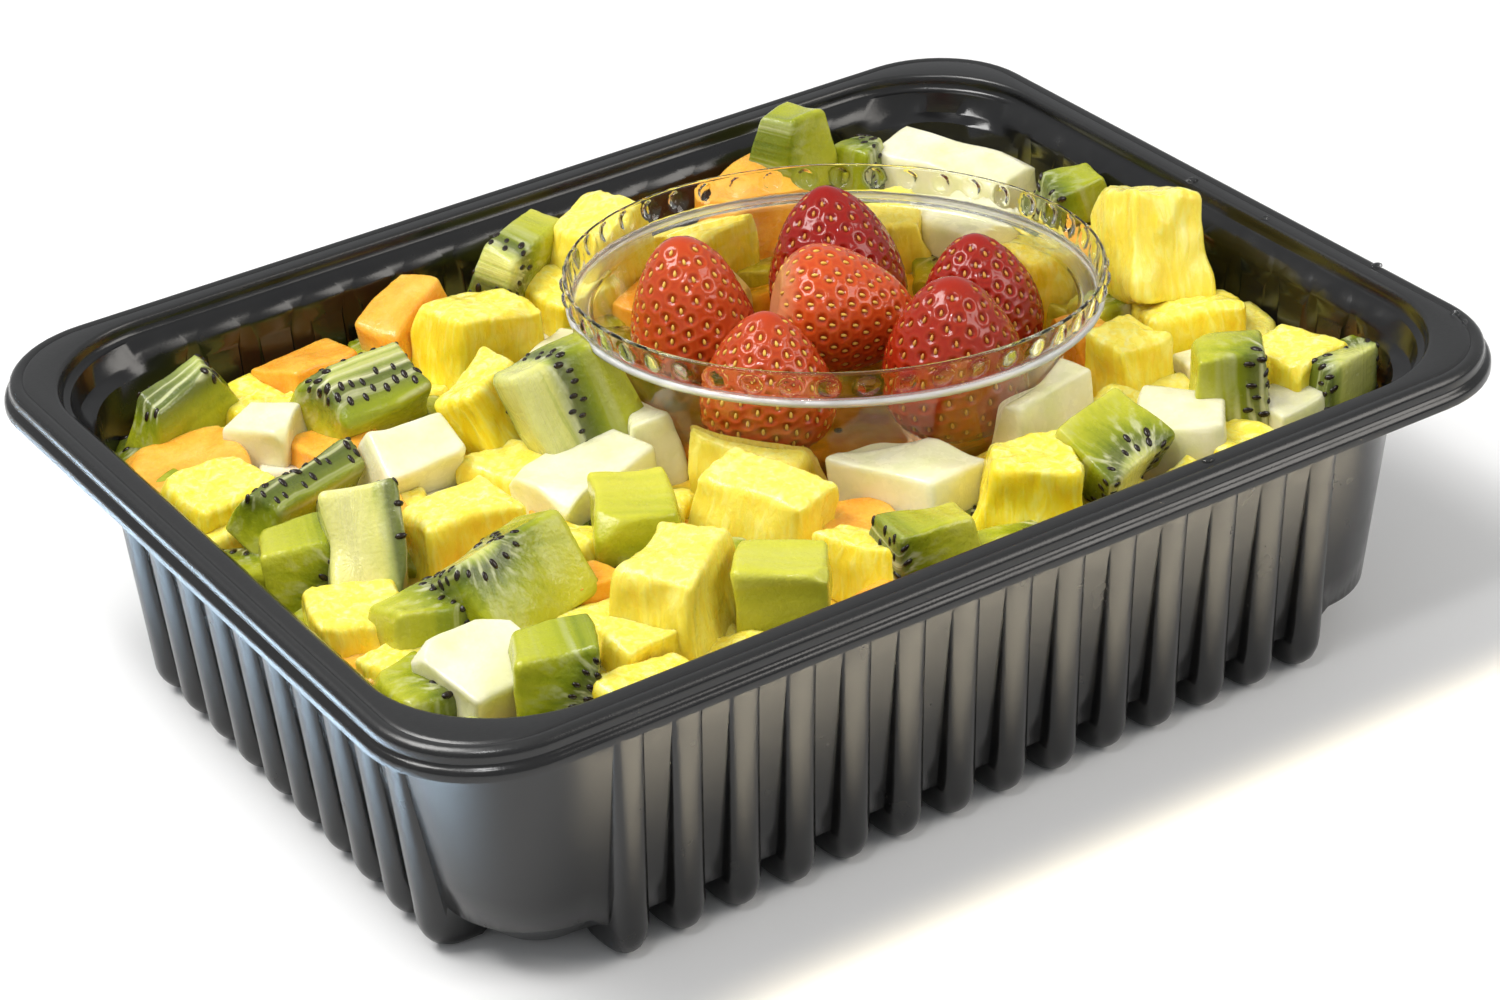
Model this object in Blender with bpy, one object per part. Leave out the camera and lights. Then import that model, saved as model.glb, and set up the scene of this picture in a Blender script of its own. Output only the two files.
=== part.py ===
"""A black plastic tray of cut fruit packed round a clear cup of strawberries.

Lengths are in metres. The origin is at the middle of the tray's underside, level with its feet,
+Z is up and +X runs along the tray's long side. The clear cup leans a little, so that its rim is
higher on the -X -Y side.
"""

import math
import random

import bmesh
import bpy
from mathutils import Matrix, Vector

# Driving dimensions of the tray
TRAY_LENGTH = 0.227
TRAY_WIDTH = 0.178
TRAY_HEIGHT = 0.060
SHEET = 0.0008
RIM_DEPTH = 0.005
RIM_CORNER_RADIUS = 0.0227
OPENING_INSET = 0.007
OPENING_CORNER_RADIUS = 0.026
WALL_CORNER_INSET = 0.0345
WALL_TOP_INSET = 0.0102
WALL_FOOT_INSET = 0.0170
FLOOR_INSET = 0.0255
FLOOR_HEIGHT = 0.0025
PANEL_FOOT_HEIGHT = 0.0080
CORNER_FOOT_HEIGHT = 0.0105
CHAMFER_DROP = 0.0008
CHAMFER_STEP = 0.0009
CHAMFER_POINTS = 5
WALL_LEAN = 0.0008

# The crescent pocket in each corner, as deep as this and with its ends drawn to the wall
POCKET_DEPTH = 0.0024
POCKET_OUT_SHARE = 0.5
POCKET_IN_SHARE = 0.3
POCKET_TOP_DROP = 0.0018
POCKET_SHELF_RISE = 0.0016

# The rim's lip, bead and flange: inset from the outermost edge, and drop below the flange's top
LIP_PROFILE = (
    (0.0000, RIM_DEPTH),
    (0.0000, 0.0034),
    (0.0013, 0.0027),
    (0.0012, 0.0014),
    (0.0018, 0.0004),
    (0.0028, 0.0000),
)

# The flange's inner edge and the small ledge under it: inset from the opening, and drop
LEDGE_PROFILE = (
    (-0.0008, 0.0000),
    (0.0000, 0.0005),
    (0.0004, 0.0028),
    (0.0018, 0.0031),
)

# Driving dimensions of the tray's ribs
RIB_PITCH = 0.01112
RIBS_LONG_SIDE = 14
RIBS_SHORT_SIDE = 10
RIB_TOP = 0.0500
RIB_FADE_TOP = 0.0540
TOE_INSET = 0.0136
TOE_RADIUS = 0.0064
TOE_FLAT = 0.0035
TOE_TURNS = (0, 35, 65, 90)
CREST_LEAN = 0.0003
CREST_SHARE = 0.55
RIB_SIDE_SHARE = 0.6

# Half a rib's width at each level from its fade at the top to the floor
RIB_HALF_WIDTHS = (0.0014, 0.0028, 0.0036, 0.0036, 0.0035, 0.0033, 0.0033, 0.0033)

# Driving dimensions of the clear cup
CUP_CENTRE = Vector((0.0252, 0.0053, 0.0680))
CUP_AXIS = Vector((0.06, 0.05, 1.0))
CUP_RIM_RADIUS = 0.0501
CUP_SKIRT = 0.0062
CUP_BOWL_RADIUS = 0.0453
CUP_BASE_RADIUS = 0.0350
CUP_DEPTH = 0.0355
CUP_SHEET = 0.0006

# The cup's outer side: radius past the named radius of its zone, and height from a named level
CUP_SKIRT_TAPER = 0.0012
CUP_LEDGE_DROP = 0.0010
CUP_LEDGE_SLOPE = 0.0004
CUP_BOWL_DROP = 0.0026
CUP_FOOT_ROUND = 0.0013

# Driving dimensions of the food
FOOD_GAP = 0.0004
CORE_TOP = 0.041
SPACE_TOP = 0.080
WALL_CLEARANCE = 0.0013
CORE_SLACK = 0.0020
FOOD_FOOT_RADIUS = 0.014
FOOD_WALL_RADIUS = 0.024
FOOD_TOP_RADIUS = 0.026
FOOD_FOOT_HEIGHT = 0.0095
CUTTER_RISE = 0.030
CORNER_JITTER = 0.09

CORNER_STEPS = 5
CUP_SIDES = 32
BERRY_SIDES = 12
BERRY_RINGS = 6
BERRY_SQUASH = 0.94
BERRY_HULL_DIP = 0.0012
BERRY_SHOULDER = 0.6
BERRY_FULLNESS = 0.55

# Each strawberry: name, middle, length, greatest width, and the way its tip points
STRAWBERRIES = (
    ("strawberry_left", (0.0044, 0.0234, 0.0580), 0.029, 0.025, (-0.10, 0.05, 1.0)),
    ("strawberry_back", (0.0397, 0.0278, 0.0552), 0.029, 0.0265, (0.00, 0.20, 1.0)),
    ("strawberry_centre", (0.0275, 0.0052, 0.0567), 0.0281, 0.0251, (0.80, -0.43, -0.25)),
    ("strawberry_right_back", (0.0520, -0.0022, 0.0550), 0.025, 0.0240, (0.02, 0.12, 1.0)),
    ("strawberry_right_front", (0.0334, -0.0202, 0.0570), 0.030, 0.027, (0.00, 0.00, 1.0)),
    ("strawberry_front_left", (0.0025, -0.0056, 0.0560), 0.026, 0.025, (0.05, 0.05, 1.0)),
)

# Each piece of fruit that shows: kind, middle, size, turn in degrees about Z, X and Y, and how
# much of its foot's two sides its top has
FRUIT = (
    ("kiwi", (-0.082, 0.065, 0.048), (0.027, 0.011, 0.013), (15, 10, -6), (0.5, 0.6)),
    ("cantaloupe", (-0.088, 0.049, 0.040), (0.018, 0.020, 0.014), (-8, 0, 0), (1.0, 1.0)),
    ("honeydew", (-0.072, 0.048, 0.044), (0.013, 0.014, 0.014), (35, 0, 0), (0.8, 0.9)),
    ("kiwi", (-0.054, 0.043, 0.050), (0.021, 0.013, 0.014), (3, 35, 0), (0.95, 0.9)),
    ("cantaloupe", (-0.033, 0.068, 0.0475), (0.020, 0.012, 0.012), (25, 0, -10), (0.7, 0.8)),
    ("pineapple", (-0.025, 0.053, 0.049), (0.021, 0.016, 0.015), (5, 0, 0), (0.9, 0.9)),
    ("kiwi", (-0.007, 0.068, 0.054), (0.023, 0.010, 0.012), (28, 10, 0), (0.8, 0.7)),
    ("pineapple", (0.009, 0.0635, 0.051), (0.020, 0.018, 0.020), (20, 0, 0), (0.8, 0.8)),
    ("pineapple", (-0.002, 0.059, 0.044), (0.018, 0.016, 0.016), (10, 0, 0), (0.9, 0.9)),
    ("pineapple", (-0.038, 0.023, 0.049), (0.018, 0.011, 0.021), (14, -20, -18), (0.9, 0.9)),
    ("kiwi", (-0.029, 0.010, 0.055), (0.023, 0.010, 0.020), (4, -20, -6), (0.95, 0.9)),
    ("honeydew", (-0.057, 0.021, 0.047), (0.018, 0.014, 0.016), (-3, 30, 0), (0.95, 0.9)),
    ("cantaloupe", (-0.064, 0.040, 0.042), (0.016, 0.012, 0.011), (10, 0, 0), (0.9, 0.9)),
    ("kiwi", (-0.080, 0.021, 0.049), (0.026, 0.010, 0.012), (20, 30, 6), (0.9, 0.5)),
    ("pineapple", (-0.090, 0.034, 0.043), (0.018, 0.016, 0.014), (5, 0, 0), (0.9, 0.9)),
    ("kiwi", (-0.0905, 0.0015, 0.047), (0.016, 0.015, 0.015), (-20, 0, 0), (0.8, 0.8)),
    ("kiwi", (-0.081, -0.005, 0.051), (0.013, 0.011, 0.021), (-20, -30, 0), (0.9, 0.9)),
    ("pineapple", (-0.062, -0.006, 0.046), (0.021, 0.016, 0.015), (-5, 0, 0), (0.8, 0.8)),
    ("kiwi", (-0.066, -0.031, 0.050), (0.023, 0.010, 0.018), (15, -35, -4), (0.95, 0.9)),
    ("kiwi", (-0.083, -0.029, 0.047), (0.015, 0.013, 0.014), (0, 0, 0), (0.85, 0.8)),
    ("pineapple", (-0.0905, -0.0195, 0.044), (0.017, 0.015, 0.014), (-20, 0, 0), (0.9, 0.9)),
    ("pineapple", (-0.091, -0.034, 0.043), (0.012, 0.012, 0.010), (10, 0, 0), (0.9, 0.9)),
    ("honeydew", (-0.082, -0.048, 0.045), (0.019, 0.015, 0.015), (5, 15, 0), (0.95, 0.95)),
    ("kiwi", (-0.073, -0.057, 0.048), (0.017, 0.015, 0.015), (-20, 0, 0), (0.8, 0.8)),
    ("pineapple", (-0.056, -0.056, 0.045), (0.017, 0.012, 0.012), (0, 0, 0), (0.9, 0.9)),
    ("cantaloupe", (-0.052, -0.032, 0.043), (0.010, 0.010, 0.009), (10, 0, 0), (0.9, 0.9)),
    ("kiwi", (-0.038, -0.024, 0.049), (0.015, 0.016, 0.012), (-25, 0, 0), (0.9, 0.95)),
    ("honeydew", (-0.034, -0.003, 0.044), (0.025, 0.016, 0.014), (10, 0, 0), (0.95, 0.9)),
    ("honeydew", (-0.018, 0.002, 0.046), (0.010, 0.012, 0.016), (-20, 0, 0), (0.7, 0.8)),
    ("pineapple", (-0.046, -0.051, 0.050), (0.023, 0.017, 0.019), (35, 0, 0), (0.8, 0.8)),
    ("pineapple", (-0.008, -0.017, 0.045), (0.012, 0.021, 0.015), (30, 0, 0), (0.9, 0.95)),
    ("pineapple", (-0.017, -0.033, 0.048), (0.014, 0.022, 0.015), (20, 0, 0), (0.8, 0.9)),
    ("pineapple", (-0.011, -0.058, 0.046), (0.011, 0.019, 0.012), (25, 0, 0), (0.8, 0.9)),
    ("kiwi", (-0.031, -0.060, 0.050), (0.016, 0.013, 0.013), (-35, 0, 0), (0.9, 0.9)),
    ("honeydew", (0.009, -0.039, 0.045), (0.015, 0.024, 0.016), (20, 0, 0), (0.95, 0.95)),
    ("kiwi", (-0.004, -0.063, 0.050), (0.017, 0.013, 0.011), (-5, 0, 0), (0.9, 0.9)),
    ("pineapple", (0.023, -0.057, 0.048), (0.020, 0.017, 0.015), (-35, 0, 0), (0.8, 0.8)),
    ("honeydew", (0.041, -0.033, 0.046), (0.022, 0.016, 0.016), (8, 0, 0), (0.9, 0.9)),
    ("kiwi", (0.040, -0.058, 0.051), (0.019, 0.016, 0.010), (15, 25, 0), (0.95, 0.95)),
    ("honeydew", (0.058, -0.055, 0.046), (0.017, 0.017, 0.012), (-40, 0, 0), (0.9, 0.9)),
    ("pineapple", (0.067, -0.029, 0.046), (0.015, 0.014, 0.014), (10, 0, 0), (0.85, 0.85)),
    ("pineapple", (0.088, -0.009, 0.057), (0.017, 0.019, 0.020), (-10, -26, 11), (1.0, 1.0)),
    ("pineapple", (0.087, -0.022, 0.045), (0.020, 0.013, 0.012), (-20, 0, 0), (0.85, 0.85)),
    ("kiwi", (0.070, -0.054, 0.051), (0.014, 0.013, 0.017), (-30, 0, 0), (0.95, 0.9)),
    ("pineapple", (0.087, -0.052, 0.047), (0.017, 0.015, 0.015), (10, 0, 0), (0.8, 0.85)),
    ("kiwi", (0.0915, -0.0585, 0.049), (0.015, 0.011, 0.011), (5, 0, 0), (0.95, 0.9)),
    ("honeydew", (0.079, -0.059, 0.044), (0.013, 0.012, 0.010), (0, 0, 0), (0.9, 0.9)),
    ("pineapple", (0.064, -0.063, 0.044), (0.014, 0.012, 0.009), (0, 0, 0), (0.9, 0.9)),
    ("kiwi", (0.0945, 0.025, 0.052), (0.016, 0.010, 0.010), (0, 0, 0), (0.9, 0.8)),
    ("honeydew", (0.086, 0.053, 0.047), (0.014, 0.033, 0.014), (24, 0, 0), (0.9, 0.9)),
    ("kiwi", (0.0575, 0.069, 0.0575), (0.016, 0.012, 0.016), (20, 0, 0), (0.5, 0.7)),
    ("kiwi", (0.071, 0.066, 0.049), (0.012, 0.011, 0.014), (20, 0, 0), (0.8, 0.8)),
    ("cantaloupe", (0.045, 0.065, 0.047), (0.024, 0.018, 0.018), (10, 0, 0), (0.8, 0.8)),
    ("pineapple", (0.076, 0.010, 0.045), (0.016, 0.016, 0.016), (0, 0, 0), (0.85, 0.85)),
    ("cantaloupe", (0.067, -0.015, 0.044), (0.010, 0.010, 0.010), (0, 0, 0), (0.9, 0.9)),
    ("kiwi", (0.076, -0.010, 0.044), (0.011, 0.010, 0.010), (15, 0, 0), (0.9, 0.9)),
    ("cantaloupe", (-0.004, -0.043, 0.041), (0.016, 0.013, 0.010), (-20, 0, 0), (0.9, 0.9)),
    ("pineapple", (-0.061, 0.060, 0.041), (0.012, 0.011, 0.010), (0, 0, 0), (0.9, 0.9)),
    ("pineapple", (-0.044, 0.011, 0.043), (0.015, 0.014, 0.012), (20, 0, 0), (0.9, 0.9)),
    ("pineapple", (0.029, 0.059, 0.046), (0.019, 0.016, 0.016), (12, 0, 0), (0.9, 0.85)),
    ("cantaloupe", (0.011, 0.049, 0.042), (0.016, 0.012, 0.013), (20, 0, 0), (0.9, 0.9)),
    ("pineapple", (0.061, 0.045, 0.045), (0.018, 0.016, 0.015), (-20, 0, 0), (0.85, 0.9)),
    ("honeydew", (0.075, 0.034, 0.044), (0.016, 0.017, 0.014), (15, 0, 0), (0.9, 0.9)),
    ("cantaloupe", (0.090, 0.012, 0.043), (0.016, 0.014, 0.013), (-8, 0, 0), (0.9, 0.9)),
    ("honeydew", (0.090, 0.065, 0.041), (0.013, 0.012, 0.012), (40, 0, 0), (0.9, 0.9)),
    ("cantaloupe", (-0.053, 0.069, 0.042), (0.018, 0.013, 0.013), (10, 0, 0), (0.9, 0.9)),
    ("pineapple", (-0.047, 0.057, 0.042), (0.014, 0.013, 0.013), (-15, 0, 0), (0.9, 0.9)),
    ("kiwi", (-0.031, 0.037, 0.043), (0.017, 0.014, 0.013), (20, 0, 0), (0.9, 0.9)),
    ("honeydew", (-0.011, 0.040, 0.042), (0.016, 0.015, 0.013), (40, 0, 0), (0.9, 0.9)),
    ("cantaloupe", (-0.073, 0.009, 0.042), (0.016, 0.014, 0.013), (-10, 0, 0), (0.9, 0.9)),
    ("pineapple", (-0.048, -0.017, 0.042), (0.014, 0.013, 0.012), (30, 0, 0), (0.9, 0.9)),
    ("kiwi", (-0.029, -0.044, 0.042), (0.014, 0.013, 0.012), (10, 0, 0), (0.9, 0.9)),
    ("pineapple", (0.056, -0.041, 0.042), (0.014, 0.013, 0.012), (20, 0, 0), (0.9, 0.9)),
    ("honeydew", (0.082, -0.037, 0.041), (0.015, 0.013, 0.012), (-15, 0, 0), (0.9, 0.9)),
    ("kiwi", (-0.093, -0.044, 0.042), (0.010, 0.014, 0.012), (0, 0, 0), (0.9, 0.9)),
    ("pineapple", (-0.062, -0.067, 0.042), (0.019, 0.012, 0.013), (5, 0, 0), (0.9, 0.9)),
    ("cantaloupe", (-0.016, -0.068, 0.041), (0.013, 0.010, 0.012), (0, 0, 0), (0.9, 0.9)),
    ("kiwi", (0.012, -0.067, 0.042), (0.016, 0.011, 0.012), (-5, 0, 0), (0.9, 0.9)),
    ("pineapple", (0.047, -0.069, 0.041), (0.017, 0.010, 0.012), (4, 0, 0), (0.9, 0.9)),
)


def remove_scene_objects():
    for thing in list(bpy.data.objects):
        bpy.data.objects.remove(thing, do_unlink=True)


def plain_material(name, colour, roughness, alpha=1.0):
    material = bpy.data.materials.new(name)
    material.use_nodes = True
    shader = material.node_tree.nodes["Principled BSDF"]
    shader.inputs["Base Color"].default_value = (*colour, 1.0)
    shader.inputs["Roughness"].default_value = roughness
    shader.inputs["Metallic"].default_value = 0.0
    shader.inputs["Alpha"].default_value = alpha
    return material


def add_object(name, mesh, material=None):
    thing = bpy.data.objects.new(name, mesh)
    bpy.context.scene.collection.objects.link(thing)
    if material:
        mesh.materials.append(material)
    return thing


def mesh_from_bmesh(name, bm):
    bmesh.ops.recalc_face_normals(bm, faces=bm.faces)
    mesh = bpy.data.meshes.new(name)
    bm.to_mesh(mesh)
    bm.free()
    return mesh


def shade(mesh, sharp_degrees=40):
    mesh.shade_smooth()
    mesh.set_sharp_from_angle(angle=math.radians(sharp_degrees))


def rounded_ring(inset, radius, height):
    """A level ring of points round the tray, this far in from its outermost edge."""
    reach_x = TRAY_LENGTH / 2 - inset - radius
    reach_y = TRAY_WIDTH / 2 - inset - radius
    ring = []
    for quarter, (sign_x, sign_y) in enumerate(((1, 1), (-1, 1), (-1, -1), (1, -1))):
        for step in range(CORNER_STEPS + 1):
            angle = math.pi / 2 * (quarter + step / CORNER_STEPS)
            x = sign_x * reach_x + radius * math.cos(angle)
            y = sign_y * reach_y + radius * math.sin(angle)
            ring.append(Vector((x, y, height)))
    return ring


def straight_path(start, end, count):
    """Points from start to end, both included."""
    return [start.lerp(end, step / (count - 1)) for step in range(count)]


def rib_path():
    """(inset, height) down a rib's crest: its fade, rounded toe, standing flat and the floor."""
    path = [Vector((WALL_TOP_INSET, RIB_FADE_TOP)), Vector((WALL_TOP_INSET + CREST_LEAN, RIB_TOP))]
    for degrees in TOE_TURNS:
        turn = math.radians(degrees)
        inset = TOE_INSET + TOE_RADIUS * (1 - math.cos(turn))
        path.append(Vector((inset, TOE_RADIUS * (1 - math.sin(turn)))))
    path.append(Vector((TOE_INSET + TOE_RADIUS + TOE_FLAT, 0.0)))
    path.append(Vector((FLOOR_INSET, FLOOR_HEIGHT)))
    return path


def panel_path():
    """(inset, height) down the flat wall between two ribs, with its chamfer above the floor."""
    path = [Vector((WALL_TOP_INSET, RIB_FADE_TOP)), Vector((WALL_TOP_INSET + WALL_LEAN, RIB_TOP))]
    path.append(Vector((WALL_FOOT_INSET, PANEL_FOOT_HEIGHT)))
    chamfer_top = Vector((WALL_FOOT_INSET + CHAMFER_STEP, PANEL_FOOT_HEIGHT - CHAMFER_DROP))
    floor_edge = Vector((FLOOR_INSET, FLOOR_HEIGHT))
    return path + straight_path(chamfer_top, floor_edge, CHAMFER_POINTS)


def corner_path(pocket):
    """(inset, height) down a corner. Pocket is 1 in the middle of the crescent, 0 at its ends."""
    depth = POCKET_DEPTH * pocket
    top_inset = WALL_TOP_INSET - POCKET_OUT_SHARE * depth
    shelf_inset = WALL_TOP_INSET + WALL_LEAN + POCKET_IN_SHARE * depth
    path = [
        Vector((top_inset, RIB_FADE_TOP - POCKET_TOP_DROP * pocket)),
        Vector((shelf_inset, RIB_TOP + POCKET_SHELF_RISE * pocket)),
        Vector((WALL_FOOT_INSET, CORNER_FOOT_HEIGHT)),
    ]
    chamfer_top = Vector((WALL_FOOT_INSET + CHAMFER_STEP, CORNER_FOOT_HEIGHT - CHAMFER_DROP))
    floor_edge = Vector((FLOOR_INSET, FLOOR_HEIGHT))
    return path + straight_path(chamfer_top, floor_edge, CHAMFER_POINTS)


def offset_path(path, distance):
    """The path moved sideways by a distance, towards the side that faces the food or the sky."""
    moved = []
    for i, point in enumerate(path):
        legs = []
        if i > 0:
            legs.append((point - path[i - 1]).normalized())
        if i < len(path) - 1:
            legs.append((path[i + 1] - point).normalized())
        normals = [Vector((-leg.y, leg.x)) for leg in legs]
        mitre = 1 + normals[0].dot(normals[-1])
        moved.append(point + (normals[0] + normals[-1]) * (distance / mitre))
    return moved


def ribbed_ring(level, inward):
    """The wall's points at one level, moved in from its outer side by a distance.

    The corners are plain, and each side between them has a row of ribs.
    """
    base_half = RIB_HALF_WIDTHS[level] - RIB_SIDE_SHARE * inward
    crest_half = CREST_SHARE * RIB_HALF_WIDTHS[level] - RIB_SIDE_SHARE * inward
    rib_inset, rib_height = offset_path(rib_path(), inward)[level]
    panel_inset, panel_height = offset_path(panel_path(), inward)[level]
    sides = (
        (Vector((-1, 0)), Vector((0, 1)), TRAY_WIDTH / 2, RIBS_LONG_SIDE),
        (Vector((0, -1)), Vector((-1, 0)), TRAY_LENGTH / 2, RIBS_SHORT_SIDE),
        (Vector((1, 0)), Vector((0, -1)), TRAY_WIDTH / 2, RIBS_LONG_SIDE),
        (Vector((0, 1)), Vector((1, 0)), TRAY_LENGTH / 2, RIBS_SHORT_SIDE),
    )
    ring = []
    for quarter, (along, outward, half, ribs) in enumerate(sides):
        for step in range(CORNER_STEPS + 1):
            pocket = math.sin(math.pi * step / CORNER_STEPS)
            inset, height = offset_path(corner_path(pocket), inward)[level]
            corner_ring = rounded_ring(inset, WALL_CORNER_INSET - inset, height)
            ring.append(corner_ring[quarter * (CORNER_STEPS + 1) + step])
        for rib in range(ribs):
            middle = (rib - (ribs - 1) / 2) * RIB_PITCH
            for offset, inset, height in (
                (-base_half, panel_inset, panel_height),
                (-crest_half, rib_inset, rib_height),
                (crest_half, rib_inset, rib_height),
                (base_half, panel_inset, panel_height),
            ):
                place = outward * (half - inset) + along * (middle + offset)
                ring.append(Vector((place.x, place.y, height)))
    return ring


def rim_rings(inward):
    """The rim from the lip's lower edge over the bead and the flat flange to the ledge inside.

    The profiles give its upper side, and inward is negative for its underside.
    """
    path = [Vector((inset, TRAY_HEIGHT - drop)) for inset, drop in LIP_PROFILE]
    path += [Vector((OPENING_INSET + step, TRAY_HEIGHT - drop)) for step, drop in LEDGE_PROFILE]
    rings = []
    for place, (inset, height) in enumerate(offset_path(path, inward)):
        if place < len(LIP_PROFILE):
            radius = RIM_CORNER_RADIUS - inset
        else:
            radius = OPENING_CORNER_RADIUS + OPENING_INSET - inset
        rings.append(rounded_ring(inset, radius, height))
    return rings


def join_rings(bm, first, second):
    """A strip of faces between two rings with as many points."""
    count = len(first)
    for i in range(count):
        j = (i + 1) % count
        bm.faces.new((first[i], first[j], second[j], second[i]))


def turn_from(ring):
    """How far round the middle each point of a ring lies, counted on from its first point."""
    start = math.atan2(ring[0].co.y, ring[0].co.x)
    turns = [(math.atan2(v.co.y, v.co.x) - start) % math.tau for v in ring[1:]]
    return [0.0] + turns + [math.tau]


def zip_rings(bm, first, second):
    """A strip of triangles between two rings with different numbers of points."""
    turns_first = turn_from(first)
    turns_second = turn_from(second)
    i = 0
    j = 0
    while i < len(first) or j < len(second):
        a = first[i % len(first)]
        b = second[j % len(second)]
        step_first = j == len(second) or (i < len(first) and turns_first[i + 1] <= turns_second[j + 1])
        if step_first:
            i += 1
            bm.faces.new((a, first[i % len(first)], b))
        else:
            j += 1
            bm.faces.new((a, second[j % len(second)], b))


def tray_skin(bm, rim, wall):
    """One side of the tray's sheet, from the lip to the floor. It returns the lip's ring."""
    rim = [[bm.verts.new(point) for point in ring] for ring in rim]
    wall = [[bm.verts.new(point) for point in ring] for ring in wall]
    for first, second in zip(rim, rim[1:]):
        join_rings(bm, first, second)
    zip_rings(bm, rim[-1], wall[0])
    for first, second in zip(wall, wall[1:]):
        join_rings(bm, first, second)
    bm.faces.new(wall[-1])
    return rim[0]


def make_tray(material):
    bm = bmesh.new()
    levels = range(len(RIB_HALF_WIDTHS))
    upper = tray_skin(bm, rim_rings(0.0), [ribbed_ring(level, SHEET) for level in levels])
    under = tray_skin(bm, rim_rings(-SHEET), [ribbed_ring(level, 0.0) for level in levels])
    join_rings(bm, upper, under)
    mesh = mesh_from_bmesh("tray", bm)
    shade(mesh)
    return add_object("tray", mesh, material)


def turned_rings(bm, profile, sides, squash=1.0):
    """Rings of points round Z for a profile of (radius, height), flattened along Y by squash."""
    rings = []
    for radius, height in profile:
        ring = []
        for side in range(sides):
            angle = math.tau * side / sides
            place = (radius * math.cos(angle), squash * radius * math.sin(angle), height)
            ring.append(bm.verts.new(place))
        rings.append(ring)
    for first, second in zip(rings, rings[1:]):
        join_rings(bm, first, second)
    return rings


def cup_profile(clearance=0.0):
    """(radius, height) down the cup's outer side from its top edge, grown by a clearance."""
    skirt_foot = -CUP_SKIRT - clearance
    return [
        (CUP_RIM_RADIUS + clearance, 0.0),
        (CUP_RIM_RADIUS - CUP_SKIRT_TAPER / 2 + clearance, -CUP_SKIRT / 2),
        (CUP_RIM_RADIUS - CUP_SKIRT_TAPER + clearance, skirt_foot),
        (CUP_BOWL_RADIUS + CUP_LEDGE_SLOPE + clearance, skirt_foot - CUP_LEDGE_DROP),
        (CUP_BOWL_RADIUS + clearance, skirt_foot - CUP_BOWL_DROP),
        (CUP_BASE_RADIUS + clearance, CUP_FOOT_ROUND - CUP_DEPTH),
        (CUP_BASE_RADIUS - CUP_FOOT_ROUND + clearance, -CUP_DEPTH - clearance),
    ]


def place_along(thing, centre, axis):
    """Turns the object's own +Z to the axis and moves its origin to the centre."""
    thing.rotation_euler = Vector(axis).to_track_quat("Z", "Y").to_euler()
    thing.location = centre


def make_cup(material):
    bm = bmesh.new()
    rings = turned_rings(bm, cup_profile(), CUP_SIDES)
    bm.faces.new(rings[-1])
    mesh = mesh_from_bmesh("cup", bm)
    cup = add_object("cup", mesh, material)
    place_along(cup, CUP_CENTRE, CUP_AXIS)
    sheet = cup.modifiers.new("sheet", "SOLIDIFY")
    sheet.thickness = CUP_SHEET
    sheet.offset = -1.0
    shade(mesh)
    return cup


def berry_profile(length, width):
    """(radius, height) from the hulled end, with round shoulders, up to the narrower tip."""
    profile = []
    for ring in range(BERRY_RINGS):
        share = (ring + 0.5) / BERRY_RINGS
        radius = width / 2 * math.sin(math.pi * share**BERRY_SHOULDER) ** BERRY_FULLNESS
        profile.append((radius, length * (share - 0.5)))
    return profile


def make_berry(name, centre, length, width, tip, material):
    bm = bmesh.new()
    rings = turned_rings(bm, berry_profile(length, width), BERRY_SIDES, BERRY_SQUASH)
    hull = bm.verts.new((0.0, 0.0, BERRY_HULL_DIP - length / 2))
    point = bm.verts.new((0.0, 0.0, length / 2))
    for side in range(BERRY_SIDES):
        following = (side + 1) % BERRY_SIDES
        bm.faces.new((hull, rings[0][following], rings[0][side]))
        bm.faces.new((point, rings[-1][side], rings[-1][following]))
    mesh = mesh_from_bmesh(name, bm)
    shade(mesh, sharp_degrees=60)
    berry = add_object(name, mesh, material)
    place_along(berry, centre, tip)
    return berry


def fruit_block(name, centre, size, turn, top_share, rng):
    """One cut block of fruit: a box with uneven corners and a top of its own size."""
    bm = bmesh.new()
    bmesh.ops.create_cube(bm, size=1.0)
    for vert in bm.verts:
        if vert.co.z > 0:
            vert.co.x *= top_share[0]
            vert.co.y *= top_share[1]
        vert.co += Vector([rng.uniform(-CORNER_JITTER, CORNER_JITTER) for _ in range(3)])
        vert.co = Vector([share * side for share, side in zip(vert.co, size)])
    yaw, tilt, roll = [math.radians(degrees) for degrees in turn]
    spin = Matrix.Rotation(tilt, 4, "X") @ Matrix.Rotation(roll, 4, "Y")
    bm.transform(Matrix.Translation(centre) @ Matrix.Rotation(yaw, 4, "Z") @ spin)
    return add_object(name, mesh_from_bmesh(name, bm))


def solid_between_rings(name, rings):
    """A closed solid with its ends on the first and the last ring."""
    bm = bmesh.new()
    made = [[bm.verts.new(point) for point in ring] for ring in rings]
    for first, second in zip(made, made[1:]):
        join_rings(bm, first, second)
    bm.faces.new(made[0])
    bm.faces.new(made[-1])
    return add_object(name, mesh_from_bmesh(name, bm))


def food_space():
    """The room inside the tray's wall, clear of the sheet, up past the top of the fruit."""
    clear = SHEET + FOOD_GAP
    foot_inset = WALL_FOOT_INSET + clear + WALL_CLEARANCE
    top_inset = WALL_TOP_INSET + clear + WALL_CLEARANCE
    return solid_between_rings(
        "food_space",
        (
            rounded_ring(FLOOR_INSET + WALL_CLEARANCE, FOOD_FOOT_RADIUS, FLOOR_HEIGHT + clear),
            rounded_ring(foot_inset, FOOD_WALL_RADIUS, FOOD_FOOT_HEIGHT),
            rounded_ring(top_inset, FOOD_TOP_RADIUS, RIB_TOP),
            rounded_ring(top_inset, FOOD_TOP_RADIUS, SPACE_TOP),
        ),
    )


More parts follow.
